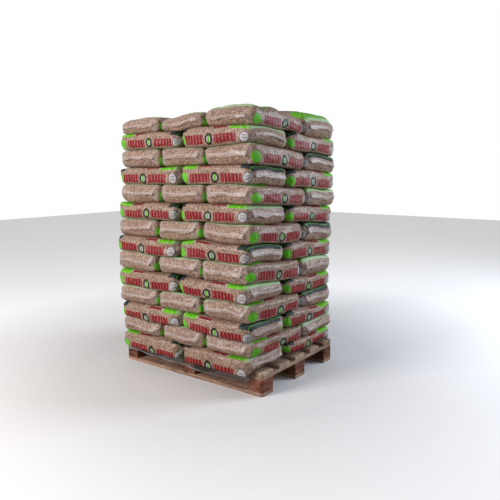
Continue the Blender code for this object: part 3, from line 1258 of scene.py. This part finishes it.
def draw_wood_grain(sheet: NodeSheet, entry: Sockets) -> Sockets:
    """Draw long grain from a stretched noise, scattered knots, and broken cracks along the grain.

    Args:
        sheet: The group's sheet.
        entry: Its inputs: the stretched place, the true place and the amount of knots.

    Returns:
        The tone, the height, and masks of the knots and of the cracks.
    """
    grain, place = entry["Vector"], entry["Place"]
    long_grain = sheet.noise(grain, 1.0, 6.0, 0.62)
    broad = sheet.noise(place, 5.0, 3.0, 0.6)
    knots = sheet.cells(place, 6.5).outputs["Distance"]
    knot = sheet.times(sheet.spread(knots, 0.10, 0.055), entry["Knots"])
    tone = sheet.plus(sheet.spread(long_grain, 0.28, 0.72, 0.0, 0.72),
                      sheet.spread(broad, 0.3, 0.7, -0.1, 0.34), clamp=True)
    from_course = sheet.apart(sheet.noise(grain, 0.55, 2.0, 0.5), 0.5)
    broken = sheet.spread(sheet.noise(place, 9.0), 0.50, 0.60)
    return {"Tone": tone, "Height": sheet.plus(long_grain, sheet.times(knot, -0.3)), "Knot": knot,
            "Crack": sheet.times(sheet.spread(from_course, 0.016, 0.005), broken)}


@dataclass(frozen=True)
class NailPattern:
    """The nails of the deck: four where a deck board crosses a stringer."""

    stringer_reach: float = 0.5465
    board_pitch: float = 0.17325
    from_stringer: float = 0.024
    from_board: float = 0.030
    radius: float = 0.0045
    soft: float = 0.0004

    def draw(self, sheet: NodeSheet, entry: Sockets) -> Sockets:
        """Draw the nail heads round the middle of each crossing.

        Args:
            sheet: The group's sheet.
            entry: Its input, the place.

        Returns:
            A mask of the heads.
        """
        x, y = sheet.split(entry["Vector"])
        from_middle = sheet.unsigned(x)
        to_stringer = sheet.maths("MINIMUM", from_middle, sheet.apart(from_middle, self.stringer_reach))
        to_board = sheet.times(sheet.apart(sheet.beat(y, self.board_pitch, 2.5), 0.5), self.board_pitch)
        along = sheet.minus(to_stringer, self.from_stringer)
        across = sheet.minus(to_board, self.from_board)
        return {"Mask": sheet.below(sheet.reach(along, across), self.radius, self.soft)}


@dataclass(frozen=True)
class SackPrint:
    """The plain print of a sack: its inks, and where its marks sit on the film from the header's weld."""

    green: Colour = srgb(104, 192, 20)
    disc_green: Colour = srgb(94, 196, 14)
    pale_green: Colour = srgb(160, 214, 128)
    faded_green: Colour = srgb(186, 216, 168)
    red: Colour = srgb(136, 0, 20)
    slate: Colour = srgb(22, 48, 46)
    dark: Colour = srgb(14, 22, 20)
    pale: Colour = srgb(198, 196, 200)
    side_half: float = 0.061
    drop: float = 0.018
    near_mark: float = 0.083
    far_mark: float = 0.587
    mark_radius: float = 0.033
    bar_runs: tuple[tuple[float, float], ...] = ((0.1425, 0.3005), (0.3895, 0.5475))
    bar_pitch: float = 0.0263
    bar_share: float = 0.86
    bar_height: float = 0.0245
    tile_middle: float = 0.345
    tile_half: float = 0.031
    band_half: float = 0.186
    header: tuple[float, float] = (0.040, 0.190)
    stripe_slant: float = 0.55
    stripes: tuple[tuple[float, float], ...] = ((0.165, 0.004), (0.205, 0.0025))
    footer: tuple[float, float] = (0.024, 0.112)
    footer_line: tuple[float, float] = (0.050, 0.0016)
    footer_dark_line: tuple[float, float] = (0.036, 0.003)
    row: tuple[float, float] = (0.265, 0.035)
    row_pitch: float = 0.045
    row_half: float = 0.136
    edge: tuple[float, float] = (0.166, 0.008)
    edge_strip: tuple[float, float] = (0.262, 0.052)
    edge_dot: tuple[float, float] = (0.196, 0.006)

    def effect(self) -> Effect:
        """Return the print as an effect of the film map and of the sack's own numbers."""
        inputs = {"U": 0.0, "V": 0.0, "Span": 0.616, "Girth": 0.9, "Roll": 0.0, "Slide": 0.0}
        return Effect("sack_print", self.draw, inputs, ("Color", "Mask"))

    def draw(self, sheet: NodeSheet, entry: Sockets) -> Sockets:
        """Draw the marks of both long sides and of the upper face over the film map.

        Args:
            sheet: The group's sheet.
            entry: Its inputs: the place along the sack and round it, the film's span and girth, how far
                the face's marks are rolled round the sack, and how far they slide along it.

        Returns:
            The ink's colour and where there is ink.
        """
        lift = sheet.minus(sheet.times(entry["Girth"], 0.25), sheet.unsigned(entry["V"]))
        on_side = sheet.below(sheet.unsigned(lift), self.side_half)
        turned = sheet.maths("GREATER_THAN", entry["V"], 0.0)
        colour, mask = self.side_marks(sheet, entry["U"], sheet.plus(lift, self.drop), turned)
        from_ridge = sheet.unsigned(sheet.plus(entry["V"], entry["Roll"]))
        return self.face_marks(sheet, entry, from_ridge, colour, sheet.times(mask, on_side))

    def cut_square(self, sheet: NodeSheet, across: Socket, up: Socket, cut: float) -> Socket:
        """Return the size of a square with cut corners: the largest of both ways and a share of their sum."""
        return sheet.union(across, up, sheet.times(sheet.plus(across, up), cut))

    def side_marks(self, sheet: NodeSheet, u: Socket, lift: Socket, turned: Socket) -> tuple[Socket, Socket]:
        """Draw the disc, the bars, the tile and the badge of a long side.

        Args:
            sheet: The group's sheet.
            u: The place along the sack.
            lift: The height over the middle line of the marks.
            turned: 1 on the side where the disc sits near the header and the badge far from it.

        Returns:
            The ink's colour and where there is ink.
        """
        up = sheet.unsigned(lift)
        swing = sheet.times(turned, self.far_mark - self.near_mark)
        from_disc = sheet.reach(sheet.minus(u, sheet.minus(self.far_mark, swing)), lift)
        disc = sheet.below(from_disc, self.mark_radius)
        ring = sheet.band(from_disc, self.mark_radius * 0.55, 0.0022, 0.002)
        bars = sheet.times(sheet.band(sheet.beat(u, self.bar_pitch), 0.5, self.bar_share / 2, 0.06),
                           sheet.below(up, self.bar_height),
                           sheet.union(*(sheet.between(u, *run) for run in self.bar_runs)))
        across = sheet.apart(u, self.tile_middle)
        box = self.cut_square(sheet, across, up, 0.74)
        tile = sheet.below(box, self.tile_half)
        core = sheet.spread(box, self.tile_half * 0.62, self.tile_half * 0.56)
        middle_stripe = sheet.times(core, sheet.below(across, 0.0050, 0.0005), tile)
        outer_stripes = sheet.times(core, sheet.band(across, 0.0115, 0.0040), tile)
        badge_across = sheet.apart(u, sheet.plus(self.near_mark, swing))
        eight = self.cut_square(sheet, badge_across, up, 0.72)
        badge = sheet.below(eight, self.mark_radius)
        rim = sheet.spread(eight, self.mark_radius - 0.005, self.mark_radius - 0.0035)
        lines = sheet.times(sheet.union(sheet.band(lift, 0.009, 0.003), sheet.band(lift, -0.006, 0.004)),
                            sheet.below(badge_across, 0.0175, 0.0005), 0.6)
        colour = sheet.paint(self.red, (disc, self.disc_green),
                             (sheet.times(ring, disc, 0.5), self.pale_green), (tile, self.dark),
                             (middle_stripe, self.green), (outer_stripes, self.pale), (badge, self.pale),
                             (sheet.times(sheet.union(rim, lines), badge), self.dark))
        return colour, sheet.union(disc, bars, tile, badge)

    def face_marks(self, sheet: NodeSheet, entry: Sockets, from_ridge: Socket, colour: Socket,
                   mask: Socket) -> Sockets:
        """Draw the header, the footer, the edge strips and the row of bars of the upper face.

        Args:
            sheet: The group's sheet.
            entry: The print's inputs.
            from_ridge: The way round the sack from the top's middle line.
            colour: The ink of the long sides.
            mask: Where the long sides have ink.

        Returns:
            The ink's colour and where there is ink.
        """
        u = sheet.minus(entry["U"], entry["Slide"])
        far_u = sheet.minus(entry["Span"], entry["U"])
        on_face = sheet.below(from_ridge, self.band_half)
        header = sheet.times(sheet.between(u, *self.header), on_face)
        footer = sheet.times(sheet.between(far_u, *self.footer), on_face)
        slant = sheet.plus(u, sheet.times(from_ridge, self.stripe_slant))
        stripes = sheet.union(*(sheet.band(slant, *stripe) for stripe in self.stripes))
        row = sheet.times(sheet.below(sheet.beat(from_ridge, self.row_pitch), 0.64, 0.02),
                          sheet.band(u, *self.row), sheet.below(from_ridge, self.row_half))
        edge = sheet.band(from_ridge, *self.edge)
        strip = sheet.times(sheet.band(u, *self.edge_strip), edge)
        dot = sheet.times(sheet.band(u, *self.edge_dot), edge)
        fade = sheet.spread(u, self.header[0] + 0.014, self.header[0] + 0.034)
        colour = sheet.paint(colour, (sheet.union(row, strip), self.red), (dot, self.pale),
                             (header, sheet.blend(fade, self.faded_green, self.green)),
                             (sheet.times(header, stripes), self.pale_green), (footer, self.slate),
                             (sheet.times(footer, sheet.band(far_u, *self.footer_line)), self.green),
                             (sheet.times(footer, sheet.band(far_u, *self.footer_dark_line)), self.dark))
        return {"Color": colour, "Mask": sheet.union(mask, header, footer, row, strip, dot)}


PELLET_FILL = Effect("pellet_fill", PelletFill().draw, {"Vector": None, "Size": 0.010}, ("Color", "Height"))
FILM_FOLDS = Effect("film_folds", draw_film_folds, {"Vector": None, "Scale": 18.0, "Sharpness": 1.0},
                    ("Mask", "Height"))
GRIME = Effect("grime", draw_grime, {"Vector": None, "Amount": 0.5, "Scale": 6.0}, ("Mask",))
WOOD_GRAIN = Effect("wood_grain", draw_wood_grain, {"Vector": None, "Place": None, "Knots": 0.5},
                    ("Tone", "Height", "Knot", "Crack"))
NAIL_HEADS = Effect("nail_heads", NailPattern().draw, {"Vector": None}, ("Mask",))


class Finish:
    """A new material, with the sheet of its nodes and its shader."""

    def __init__(self, name: str) -> None:
        """Make the material.

        Args:
            name: Its name.
        """
        self.material = bpy.data.materials.new(name)
        self.material.use_nodes = True
        self.sheet = NodeSheet(self.material.node_tree)
        self.shader = self.material.node_tree.nodes["Principled BSDF"]

    def feed(self, **inputs: Value) -> None:
        """Feed the shader's sockets, named with underscores for spaces."""
        for name, value in inputs.items():
            self.sheet.feed(self.shader.inputs[name.replace("_", " ")], value)

    def bump(self, height: Socket, strength: float, distance: float, **inputs: Value) -> None:
        """Roughen the shader's normal by a height.

        Args:
            height: The height, in shares of the distance.
            strength: How much of the relief shows.
            distance: The depth of the relief in metres.
            inputs: Other sockets of the bump.
        """
        bump = self.sheet.add("Bump", None, Strength=strength, Distance=distance, Height=height, **inputs)
        self.feed(Normal=bump.outputs["Normal"])


@dataclass(frozen=True)
class PelletSack:
    """The finish of a sack: clear printed film, tight over wood pellets and slack at the welds."""

    inks: SackPrint = SackPrint()
    pellet_size: float = 0.0045
    tint: Colour = srgb(150, 108, 80)
    tint_share: float = 0.16
    # Painted highlight: a whitish colour laid over the film's fine folds where they would catch the light.
    haze: Colour = srgb(212, 202, 203)
    haze_share: float = 0.42
    glint: Colour = srgb(226, 222, 226)
    glint_share: float = 0.85
    dust: Colour = srgb(196, 176, 160)
    dust_share: float = 0.5
    slack_film: Colour = srgb(198, 190, 192)
    slack_share: float = 0.80
    ink_share: float = 0.98
    sky: Colour = srgb(214, 214, 218)
    sky_share: float = 0.14
    coat: float = 0.26
    coat_roughness: float = 0.20
    specular: float = 0.28
    gather_from: float = 0.095
    relief: float = 0.0014

    def gathers(self, sheet: NodeSheet, along: Socket, around: Socket, span: Socket,
                tone: Socket) -> tuple[Socket, Socket]:
        """Draw the gathers that run up from each weld and die away.

        Args:
            sheet: The material's sheet.
            along: The place along the film.
            around: The place round it.
            span: The film's length from weld to weld.
            tone: The sack's own number, which gives each sack its own folds.

        Returns:
            Where the gathers catch the light, and their height.
        """
        from_weld = sheet.maths("MINIMUM", along, sheet.minus(span, along))
        near_weld = sheet.spread(from_weld, self.gather_from, 0.012)
        place = sheet.join(sheet.times(along, 6.0), sheet.times(around, 30.0), sheet.times(tone, 40.0))
        folds = FILM_FOLDS.place(sheet, Vector=place, Scale=1.0, Sharpness=0.9)
        return sheet.times(folds["Mask"], near_weld), sheet.times(folds["Height"], near_weld, 1.4)

    def material(self) -> bpy.types.Material:
        """Build the material of every sack: pellets under film that is folded, dusty and printed, with
        painted highlights on its folds and gathers and a painted sky reflection on its open ends.

        Returns:
            The material.
        """
        finish = Finish("pellet_sack_film")
        sheet = finish.sheet
        where = sheet.position()
        along, around = sheet.split(sheet.add("UVMap", {"uv_map": "film"}).outputs["UV"])
        slack, tone, girth, span, roll, slide, shine = sheet.marks("slack", "tone", "girth", "span", "roll",
                                                                   "slide", "shine")
        fill = PELLET_FILL.place(sheet, Vector=where, Size=self.pellet_size)
        folds = FILM_FOLDS.place(sheet, Vector=where, Scale=17.0, Sharpness=1.0)
        ink = self.inks.effect().place(sheet, U=along, V=around, Girth=girth, Span=span, Roll=roll,
                                       Slide=slide)
        grime = GRIME.place(sheet, Vector=where, Amount=0.35, Scale=9.0)
        gathers, gather_height = self.gathers(sheet, along, around, span, tone)
        patchy = sheet.spread(sheet.noise(where, 21.0), 0.36, 0.64, 0.45, 1.0)
        loose = sheet.times(sheet.spread(slack, 0.03, 1.0, 0.0, self.slack_share), patchy)
        bare = sheet.spread(ink["Mask"], 0.0, 1.0, 1.0, 0.2)
        rough = sheet.spread(sheet.noise(where, 38.0), 0.3, 0.7, 0.42, 0.62)
        # The folds' whitish coat, the gathers' glint and the sky colour on open ends are painted highlights
        # and reflections.
        finish.feed(
            Base_Color=sheet.paint(
                fill["Color"], (sheet.times(tone, self.tint_share), self.tint),
                (sheet.times(folds["Mask"], self.haze_share), self.haze),
                (sheet.times(gathers, self.glint_share), self.glint),
                (sheet.times(grime["Mask"], self.dust_share), self.dust), (loose, self.slack_film),
                (sheet.times(ink["Mask"], self.ink_share), ink["Color"]),
                (sheet.times(shine, bare, self.sky_share), self.sky)),
            Roughness=sheet.minus(rough, sheet.times(slack, 0.10)), Coat_Weight=sheet.times(bare, self.coat),
            Coat_Roughness=self.coat_roughness, Specular_IOR_Level=self.specular)
        height = sheet.plus(sheet.times(fill["Height"], sheet.minus(1.0, loose)),
                            sheet.times(folds["Height"], 0.8))
        finish.bump(sheet.plus(height, gather_height), 0.75, self.relief)
        return finish.material


@dataclass(frozen=True)
class SawnWood:
    """The finish of sawn pallet wood: grain along one axis, knots, dirt and worn, paler edges."""

    name: str
    light: Colour
    middle: Colour
    dark: Colour
    grain: Point
    knot_share: float = 0.5
    grime_amount: float = 0.5
    scuff: Colour = srgb(196, 176, 158)
    scuff_amount: float = 0.35
    edge_radius: float = 0.0024
    nails: float = 0.0
    rust: Colour = srgb(62, 44, 38)

    def wear(self, sheet: NodeSheet, where: Socket, rounded: Socket) -> Socket:
        """Mask the worn wood: scuffs on the faces, and edges where the rounded normal leaves the flat one.

        Args:
            sheet: The material's sheet.
            where: The place on the object.
            rounded: The normal with rounded edges.

        Returns:
            The mask.
        """
        scuffs = GRIME.place(sheet, Vector=sheet.stretch(where, (0.8, 0.8, 2.4)), Amount=self.scuff_amount,
                             Scale=17.0)
        flat = sheet.add("NewGeometry").outputs["Normal"]
        likeness = sheet.vector_maths("DOT_PRODUCT", rounded, flat).outputs["Value"]
        patchy = sheet.spread(sheet.noise(where, 30.0), 0.35, 0.65, 0.15, 0.75)
        return sheet.union(scuffs["Mask"], sheet.times(sheet.spread(likeness, 0.985, 0.86), patchy))

    def material(self) -> bpy.types.Material:
        """Build the wood's material: grain and knots under dirt, wear, cracks and, on the deck, nails.

        Returns:
            The material.
        """
        finish = Finish(self.name)
        sheet = finish.sheet
        where = sheet.position()
        grain = WOOD_GRAIN.place(sheet, Vector=sheet.stretch(where, self.grain), Place=where,
                                 Knots=self.knot_share)
        grime = GRIME.place(sheet, Vector=where, Amount=self.grime_amount, Scale=11.0)
        rounded = sheet.add("Bevel", {"samples": 4}, Radius=self.edge_radius).outputs["Normal"]
        bare = sheet.ramp(grain["Tone"], ((0.0, self.dark), (0.5, self.middle), (1.0, self.light)))
        colour = sheet.paint(bare, (grain["Knot"], darker(self.dark, 0.35)),
                             (grime["Mask"], darker(self.dark, 0.45)),
                             (self.wear(sheet, where, rounded), self.scuff),
                             (sheet.times(grain["Crack"], 0.85), darker(self.dark, 0.30)))
        height = sheet.minus(grain["Height"], grain["Crack"])
        if self.nails > 0.0:
            heads = NAIL_HEADS.place(sheet, Vector=where)["Mask"]
            colour = sheet.blend(sheet.times(heads, self.nails), colour, self.rust)
            height = sheet.plus(height, heads)
        finish.feed(Base_Color=colour, Roughness=sheet.spread(grain["Tone"], 0.0, 1.0, 0.92, 0.74))
        finish.bump(height, 0.8, 0.0012, Normal=rounded)
        return finish.material


@dataclass(frozen=True)
class ClearSheet:
    """The finish of the thin loose sheet: clear, grey-white where it creases and along its hem, partly milky
    creased film and partly painted highlights.
    """

    film: Colour = srgb(98, 94, 92)
    crease: Colour = srgb(226, 228, 234)
    clear: float = 0.17
    milky: float = 0.80

    def material(self) -> bpy.types.Material:
        """Build the sheet's material: pale streaks down its hang, its hem and its crumpled end over clear
        film, the streaks and the hem partly painted highlights on its wrinkles.

        Returns:
            The material.
        """
        finish = Finish("clear_sheet_film")
        sheet = finish.sheet
        where = sheet.position()
        hem, fall, crumple = sheet.marks("hem", "fall", "crumple")
        course = sheet.join(sheet.times(sheet.split(where)[0], 2.4), sheet.times(fall, 3.4))
        folds = FILM_FOLDS.place(sheet, Vector=course, Scale=1.6, Sharpness=0.9)
        streaks = sheet.times(folds["Mask"], sheet.spread(fall, 0.30, 0.62, 0.5, 3.0))
        crushed = FILM_FOLDS.place(sheet, Vector=where, Scale=22.0, Sharpness=0.5)["Mask"]
        crushed_film = sheet.times(sheet.spread(crushed, 0.0, 0.5, 0.42, 1.0), crumple)
        # Partly painted highlights: the streaks and the hem are laid on in pale grey-white, beside the
        # crumpled end's milky film.
        creases_and_glints = sheet.union(streaks, hem, crushed_film)
        finish.feed(Base_Color=sheet.blend(creases_and_glints, self.film, self.crease),
                    Alpha=sheet.spread(creases_and_glints, 0.0, 0.8, self.clear, self.milky),
                    Roughness=sheet.spread(sheet.noise(where, 24.0), 0.3, 0.7, 0.14, 0.34))
        finish.bump(folds["Height"], 0.7, 0.002)
        return finish.material


@dataclass
class DeckSheet:
    """The clear sheet on the deck, which hangs loosely over both long edges."""

    film_half: float = 0.0003
    columns: int = 150
    hang_steps: int = 15
    deck_steps: int = 25
    hem_front: float = 0.062
    hem_back: float = 0.075
    hem_wave: float = 0.008
    hem_wave_length: float = 0.45
    hem_seed: int = 71
    lift: float = 0.0004
    stand_off: float = 0.0022
    wave_at_edge: float = 0.004
    wave_growth: float = 0.006
    wave_length: float = 0.10
    wave_seed: int = 72
    caught_from: float = 0.47
    caught_over: float = 0.08
    caught_share: float = 0.72

    def __post_init__(self) -> None:
        """Read the deck's place from the frame."""
        low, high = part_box("base_sheet")
        self.half_length = (high.x - low.x) / 2
        self.deck_top = high.z
        self.edge = high.y

    def profile(self) -> tuple[Array, Array, Array]:
        """Lay out the profile across the deck, hem to hem.

        Returns:
            The places y, the share hung down (0 on the deck and 1 at the hem), and the side, which is -1
            or 1 on a hang and 0 on the deck.
        """
        hang = np.linspace(1.0, 0.0, self.hang_steps)
        flat = np.linspace(-1.0, 1.0, self.deck_steps)[1:-1] * (self.edge - 0.002)
        y = np.concatenate([np.full(len(hang), -self.edge), flat, np.full(len(hang), self.edge)])
        down = np.concatenate([hang, np.zeros(len(flat)), hang[::-1]])
        return y, down, np.sign(y) * (down > 0.0)

    def surface(self, x: Array) -> Array:
        """Carry the profile along X, the hem's height and the waves changing on the way.

        A hanging point lies its share of the drop below the deck, and stands off the edge by waves that
        grow towards the hem. Past the pockets the right end is caught under the load and hangs short.

        Args:
            x: The places along the deck.

        Returns:
            The middle of the film, by place along and across the deck.
        """
        y, down, side = (row[None, :] for row in self.profile())
        x = x[:, None]
        hem = np.where(side <= 0, self.hem_front, self.hem_back)
        hem_wave = self.hem_wave * Ripple(self.hem_seed, self.hem_wave_length, flat=True).at(x, side * 3.0)
        far_right = smooth_step(x, self.caught_from, self.caught_from + self.caught_over)
        drop = (self.deck_top - hem + hem_wave) * (1.0 - self.caught_share * far_right)
        z = self.deck_top + self.lift - drop * down
        wave = Ripple(self.wave_seed, self.wave_length, waves=8).at(x * 0.4, side * 3.0, z * 2.4)
        waves = (self.wave_at_edge + self.wave_growth * down) * (0.5 + 0.5 * wave).clip(0.0, 1.4)
        out = y + side * (self.stand_off + waves) * smooth_step(down, 0.0, 0.3)
        return np.stack(np.broadcast_arrays(x, out, z), axis=-1)

    def rings(self, surface: Array) -> Array:
        """Return the rings of the film's two sides, which lie half its thickness off its middle."""
        offset = unit(np.cross(np.gradient(surface, axis=0), np.gradient(surface, axis=1))) * self.film_half
        return np.concatenate([surface + offset, (surface - offset)[:, ::-1]], axis=1)

    def faces(self, count: int, around: int) -> Array:
        """Join the rings, and close the first and the last by quads between the film's two sides.

        Args:
            count: How many rings there are.
            around: How many points a ring has.

        Returns:
            The quads as rows of four point numbers.
        """
        walls = ring_walls(count, around)[:, [0, 3, 2, 1]]
        step = np.arange(around // 2 - 1)
        near = np.stack([step, step + 1, around - 2 - step, around - 1 - step], axis=-1)
        return np.concatenate([walls, near, near[:, ::-1] + (count - 1) * around])

    def marks(self, x: Array) -> dict[str, Array]:
        """Work out the numbers that the finish reads.

        Args:
            x: The places along the deck.

        Returns:
            The pale hem, partly a painted highlight, which fades to the right, the share hung down, and the
            crumple at the left end.
        """
        x, down = x[:, None], self.profile()[1]
        fall = np.concatenate([down, down[::-1]])[None, :]
        hem = 0.46 * smooth_step(fall, 0.80, 1.0) * (1.0 - 0.7 * smooth_step(x, -0.05, 0.35))
        crumple = smooth_step(-x, self.half_length - 0.15, self.half_length - 0.05) * (fall > 0.0)
        return {"hem": hem, "fall": fall, "crumple": crumple}

    def build(self, finish: ClearSheet) -> bpy.types.Object:
        """Build the sheet in place of the frame's flat one.

        Args:
            finish: The film's finish.

        Returns:
            The sheet's object.
        """
        x = np.linspace(-self.half_length, self.half_length, self.columns)
        rings = self.rings(self.surface(x))
        shape = rings.shape[:2]
        mesh = bpy.data.meshes.new("deck_sheet")
        mesh.from_pydata(rings.reshape(-1, 3), [], self.faces(*shape).tolist())
        write_marks(mesh, self.marks(x), shape)
        piece = finish_object("deck_sheet", mesh, finish.material())
        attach(piece, BODY)
        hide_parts("base_sheet")
        return piece


@dataclass
class WoodenPallet:
    """The pallet's 20 boards and blocks, which keep their shapes from the frame."""

    board: SawnWood = SawnWood(
        "weathered_board_wood", srgb(228, 200, 176), srgb(186, 154, 131), srgb(96, 70, 56),
        grain=(2.0, 36.0, 60.0), grime_amount=0.55, nails=1.0)
    stringer: SawnWood = SawnWood(
        "weathered_stringer_wood", srgb(200, 168, 146), srgb(162, 130, 111), srgb(88, 64, 52),
        grain=(36.0, 2.0, 60.0))
    bottom: SawnWood = SawnWood(
        "bottom_board_wood", srgb(200, 163, 138), srgb(162, 126, 105), srgb(102, 72, 57),
        grain=(2.0, 36.0, 60.0), knot_share=0.9)
    block: SawnWood = SawnWood(
        "red_brown_block_wood", srgb(156, 100, 74), srgb(112, 60, 41), srgb(46, 23, 16),
        grain=(26.0, 3.0, 26.0), knot_share=0.0, grime_amount=0.85, scuff=srgb(186, 142, 114),
        scuff_amount=0.42)

    def build(self) -> None:
        """Give every timber of the frame its wood."""
        finishes = {"deck": self.board, "stringer": self.stringer, "bottom": self.bottom, "block": self.block}
        made = {key: finish.material() for key, finish in finishes.items()}
        for name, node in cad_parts.items():
            key = name.split("_")[0]
            if key in made:
                node.data.materials.clear()
                node.data.materials.append(made[key])
        log.info("pallet: %d woods", len(made))


@dataclass(frozen=True)
class Lamp:
    """A square area light that faces the middle of the load."""

    name: str
    place: Point
    size: float
    power: float
    colour: Colour
    target: Point = (0.0, 0.0, 0.8)

    def build(self) -> None:
        """Add the light to the scene."""
        data = bpy.data.lights.new(self.name, "AREA")
        data.size = self.size
        data.energy = self.power
        data.color = self.colour
        light = bpy.data.objects.new(self.name, data)
        light.location = self.place
        light.rotation_euler = (Vector(self.target) - Vector(self.place)).to_track_quat("-Z", "Y").to_euler()
        bpy.context.scene.collection.objects.link(light)


@dataclass(frozen=True)
class Floor:
    """The wide floor: pale to the camera, darker for the light it throws back, aglow far from the load."""

    half: float = 12.0
    steps: int = 5
    colour: Colour = (0.90, 0.90, 0.91)
    cloud: float = 1.03
    bounce: Colour = (0.30, 0.28, 0.26)
    glow: float = 0.34
    glow_from: float = 1.0
    glow_full: float = 2.6

    def material(self) -> bpy.types.Material:
        """Build the floor's material.

        Returns:
            The material.
        """
        finish = Finish("pale_floor")
        sheet = finish.sheet
        where = sheet.position()
        seen = sheet.is_seen()
        paler = tuple(min(1.0, channel * self.cloud) for channel in self.colour)
        clouded = sheet.blend(sheet.noise(where, 0.8), self.colour, paler)
        away = sheet.vector_maths("LENGTH", where).outputs["Value"]
        far = sheet.spread(away, self.glow_from, self.glow_full, 0.0, self.glow)
        finish.feed(Base_Color=sheet.blend(seen, self.bounce, clouded), Roughness=0.9, Emission_Color=WHITE,
                    Emission_Strength=sheet.times(seen, far))
        return finish.material

    def build(self) -> None:
        """Build the floor as a grid of two parameters."""
        line = np.linspace(-self.half, self.half, self.steps)
        x, y = np.meshgrid(line, line, indexing="ij")
        number = np.arange(self.steps ** 2).reshape(self.steps, self.steps)
        faces = np.stack([number[:-1, :-1], number[1:, :-1], number[1:, 1:], number[:-1, 1:]], axis=-1)
        mesh = bpy.data.meshes.new("floor")
        mesh.from_pydata(np.stack([x, y, np.zeros_like(x)], axis=-1).reshape(-1, 3), [],
                         faces.reshape(-1, 4).tolist())
        finish_object("floor", mesh, self.material())


@dataclass
class Studio:
    """The floor, the lights and the camera at the photograph's place."""

    focal_px: float = 543.19
    frame_px: float = 500.0
    centre_px: tuple[float, float] = (293.08, 217.21)
    sensor: float = 36.0
    place: Point = (2.4759, -2.8404, 1.3300)
    heading_deg: float = 124.202
    pitch_deg: float = 5.0
    floor: Floor = Floor()
    lamps: tuple[Lamp, ...] = (Lamp("key", (-1.7, -4.8, 2.5), 2.2, 230.0, (1.0, 0.945, 0.915)),
                               Lamp("side", (3.6, 3.1, 2.2), 2.4, 152.0, (0.79, 0.88, 1.0)))
    sky_light: float = 0.29

    def add_camera(self) -> None:
        """Add the camera: its lens and shift follow from its focal length and middle in pixels."""
        data = bpy.data.cameras.new("camera")
        data.sensor_width = self.sensor
        data.lens = self.focal_px / self.frame_px * data.sensor_width
        data.shift_x = (self.frame_px / 2 - self.centre_px[0]) / self.frame_px
        data.shift_y = (self.centre_px[1] - self.frame_px / 2) / self.frame_px
        camera = bpy.data.objects.new("camera", data)
        heading, pitch = math.radians(self.heading_deg), math.radians(self.pitch_deg)
        level = math.cos(pitch)
        look = Vector((math.cos(heading) * level, math.sin(heading) * level, -math.sin(pitch)))
        camera.location = self.place
        camera.rotation_euler = look.to_track_quat("-Z", "Y").to_euler()
        bpy.context.scene.collection.objects.link(camera)
        bpy.context.scene.camera = camera

    def add_world(self) -> None:
        """Add the even background: white to the camera, and a soft light for the rest."""
        world = bpy.data.worlds.new("studio")
        world.use_nodes = True
        sheet = NodeSheet(world.node_tree)
        background = world.node_tree.nodes["Background"]
        sheet.feed(background.inputs["Color"], WHITE)
        strength = sheet.spread(sheet.is_seen(), 0.0, 1.0, self.sky_light, 1.0)
        sheet.feed(background.inputs["Strength"], strength)
        bpy.context.scene.world = world
        bpy.context.scene.view_settings.view_transform = "Standard"

    def build(self) -> None:
        """Set up the camera, the floor, the lights and the background."""
        self.add_camera()
        self.floor.build()
        for lamp in self.lamps:
            lamp.build()
        self.add_world()
        log.info("studio: %d lamps", len(self.lamps))


def main() -> None:
    """Build the studio, the pallet, the sheet and the sacks, in that order."""
    logging.basicConfig(level=logging.INFO, format="%(name)s: %(message)s")
    Studio().build()
    WoodenPallet().build()
    DeckSheet().build(ClearSheet())
    pieces = SackStack(LayerBeds()).build(PelletSack())
    log.info("%d sacks", len(pieces))


if __name__ == "__main__":
    main()
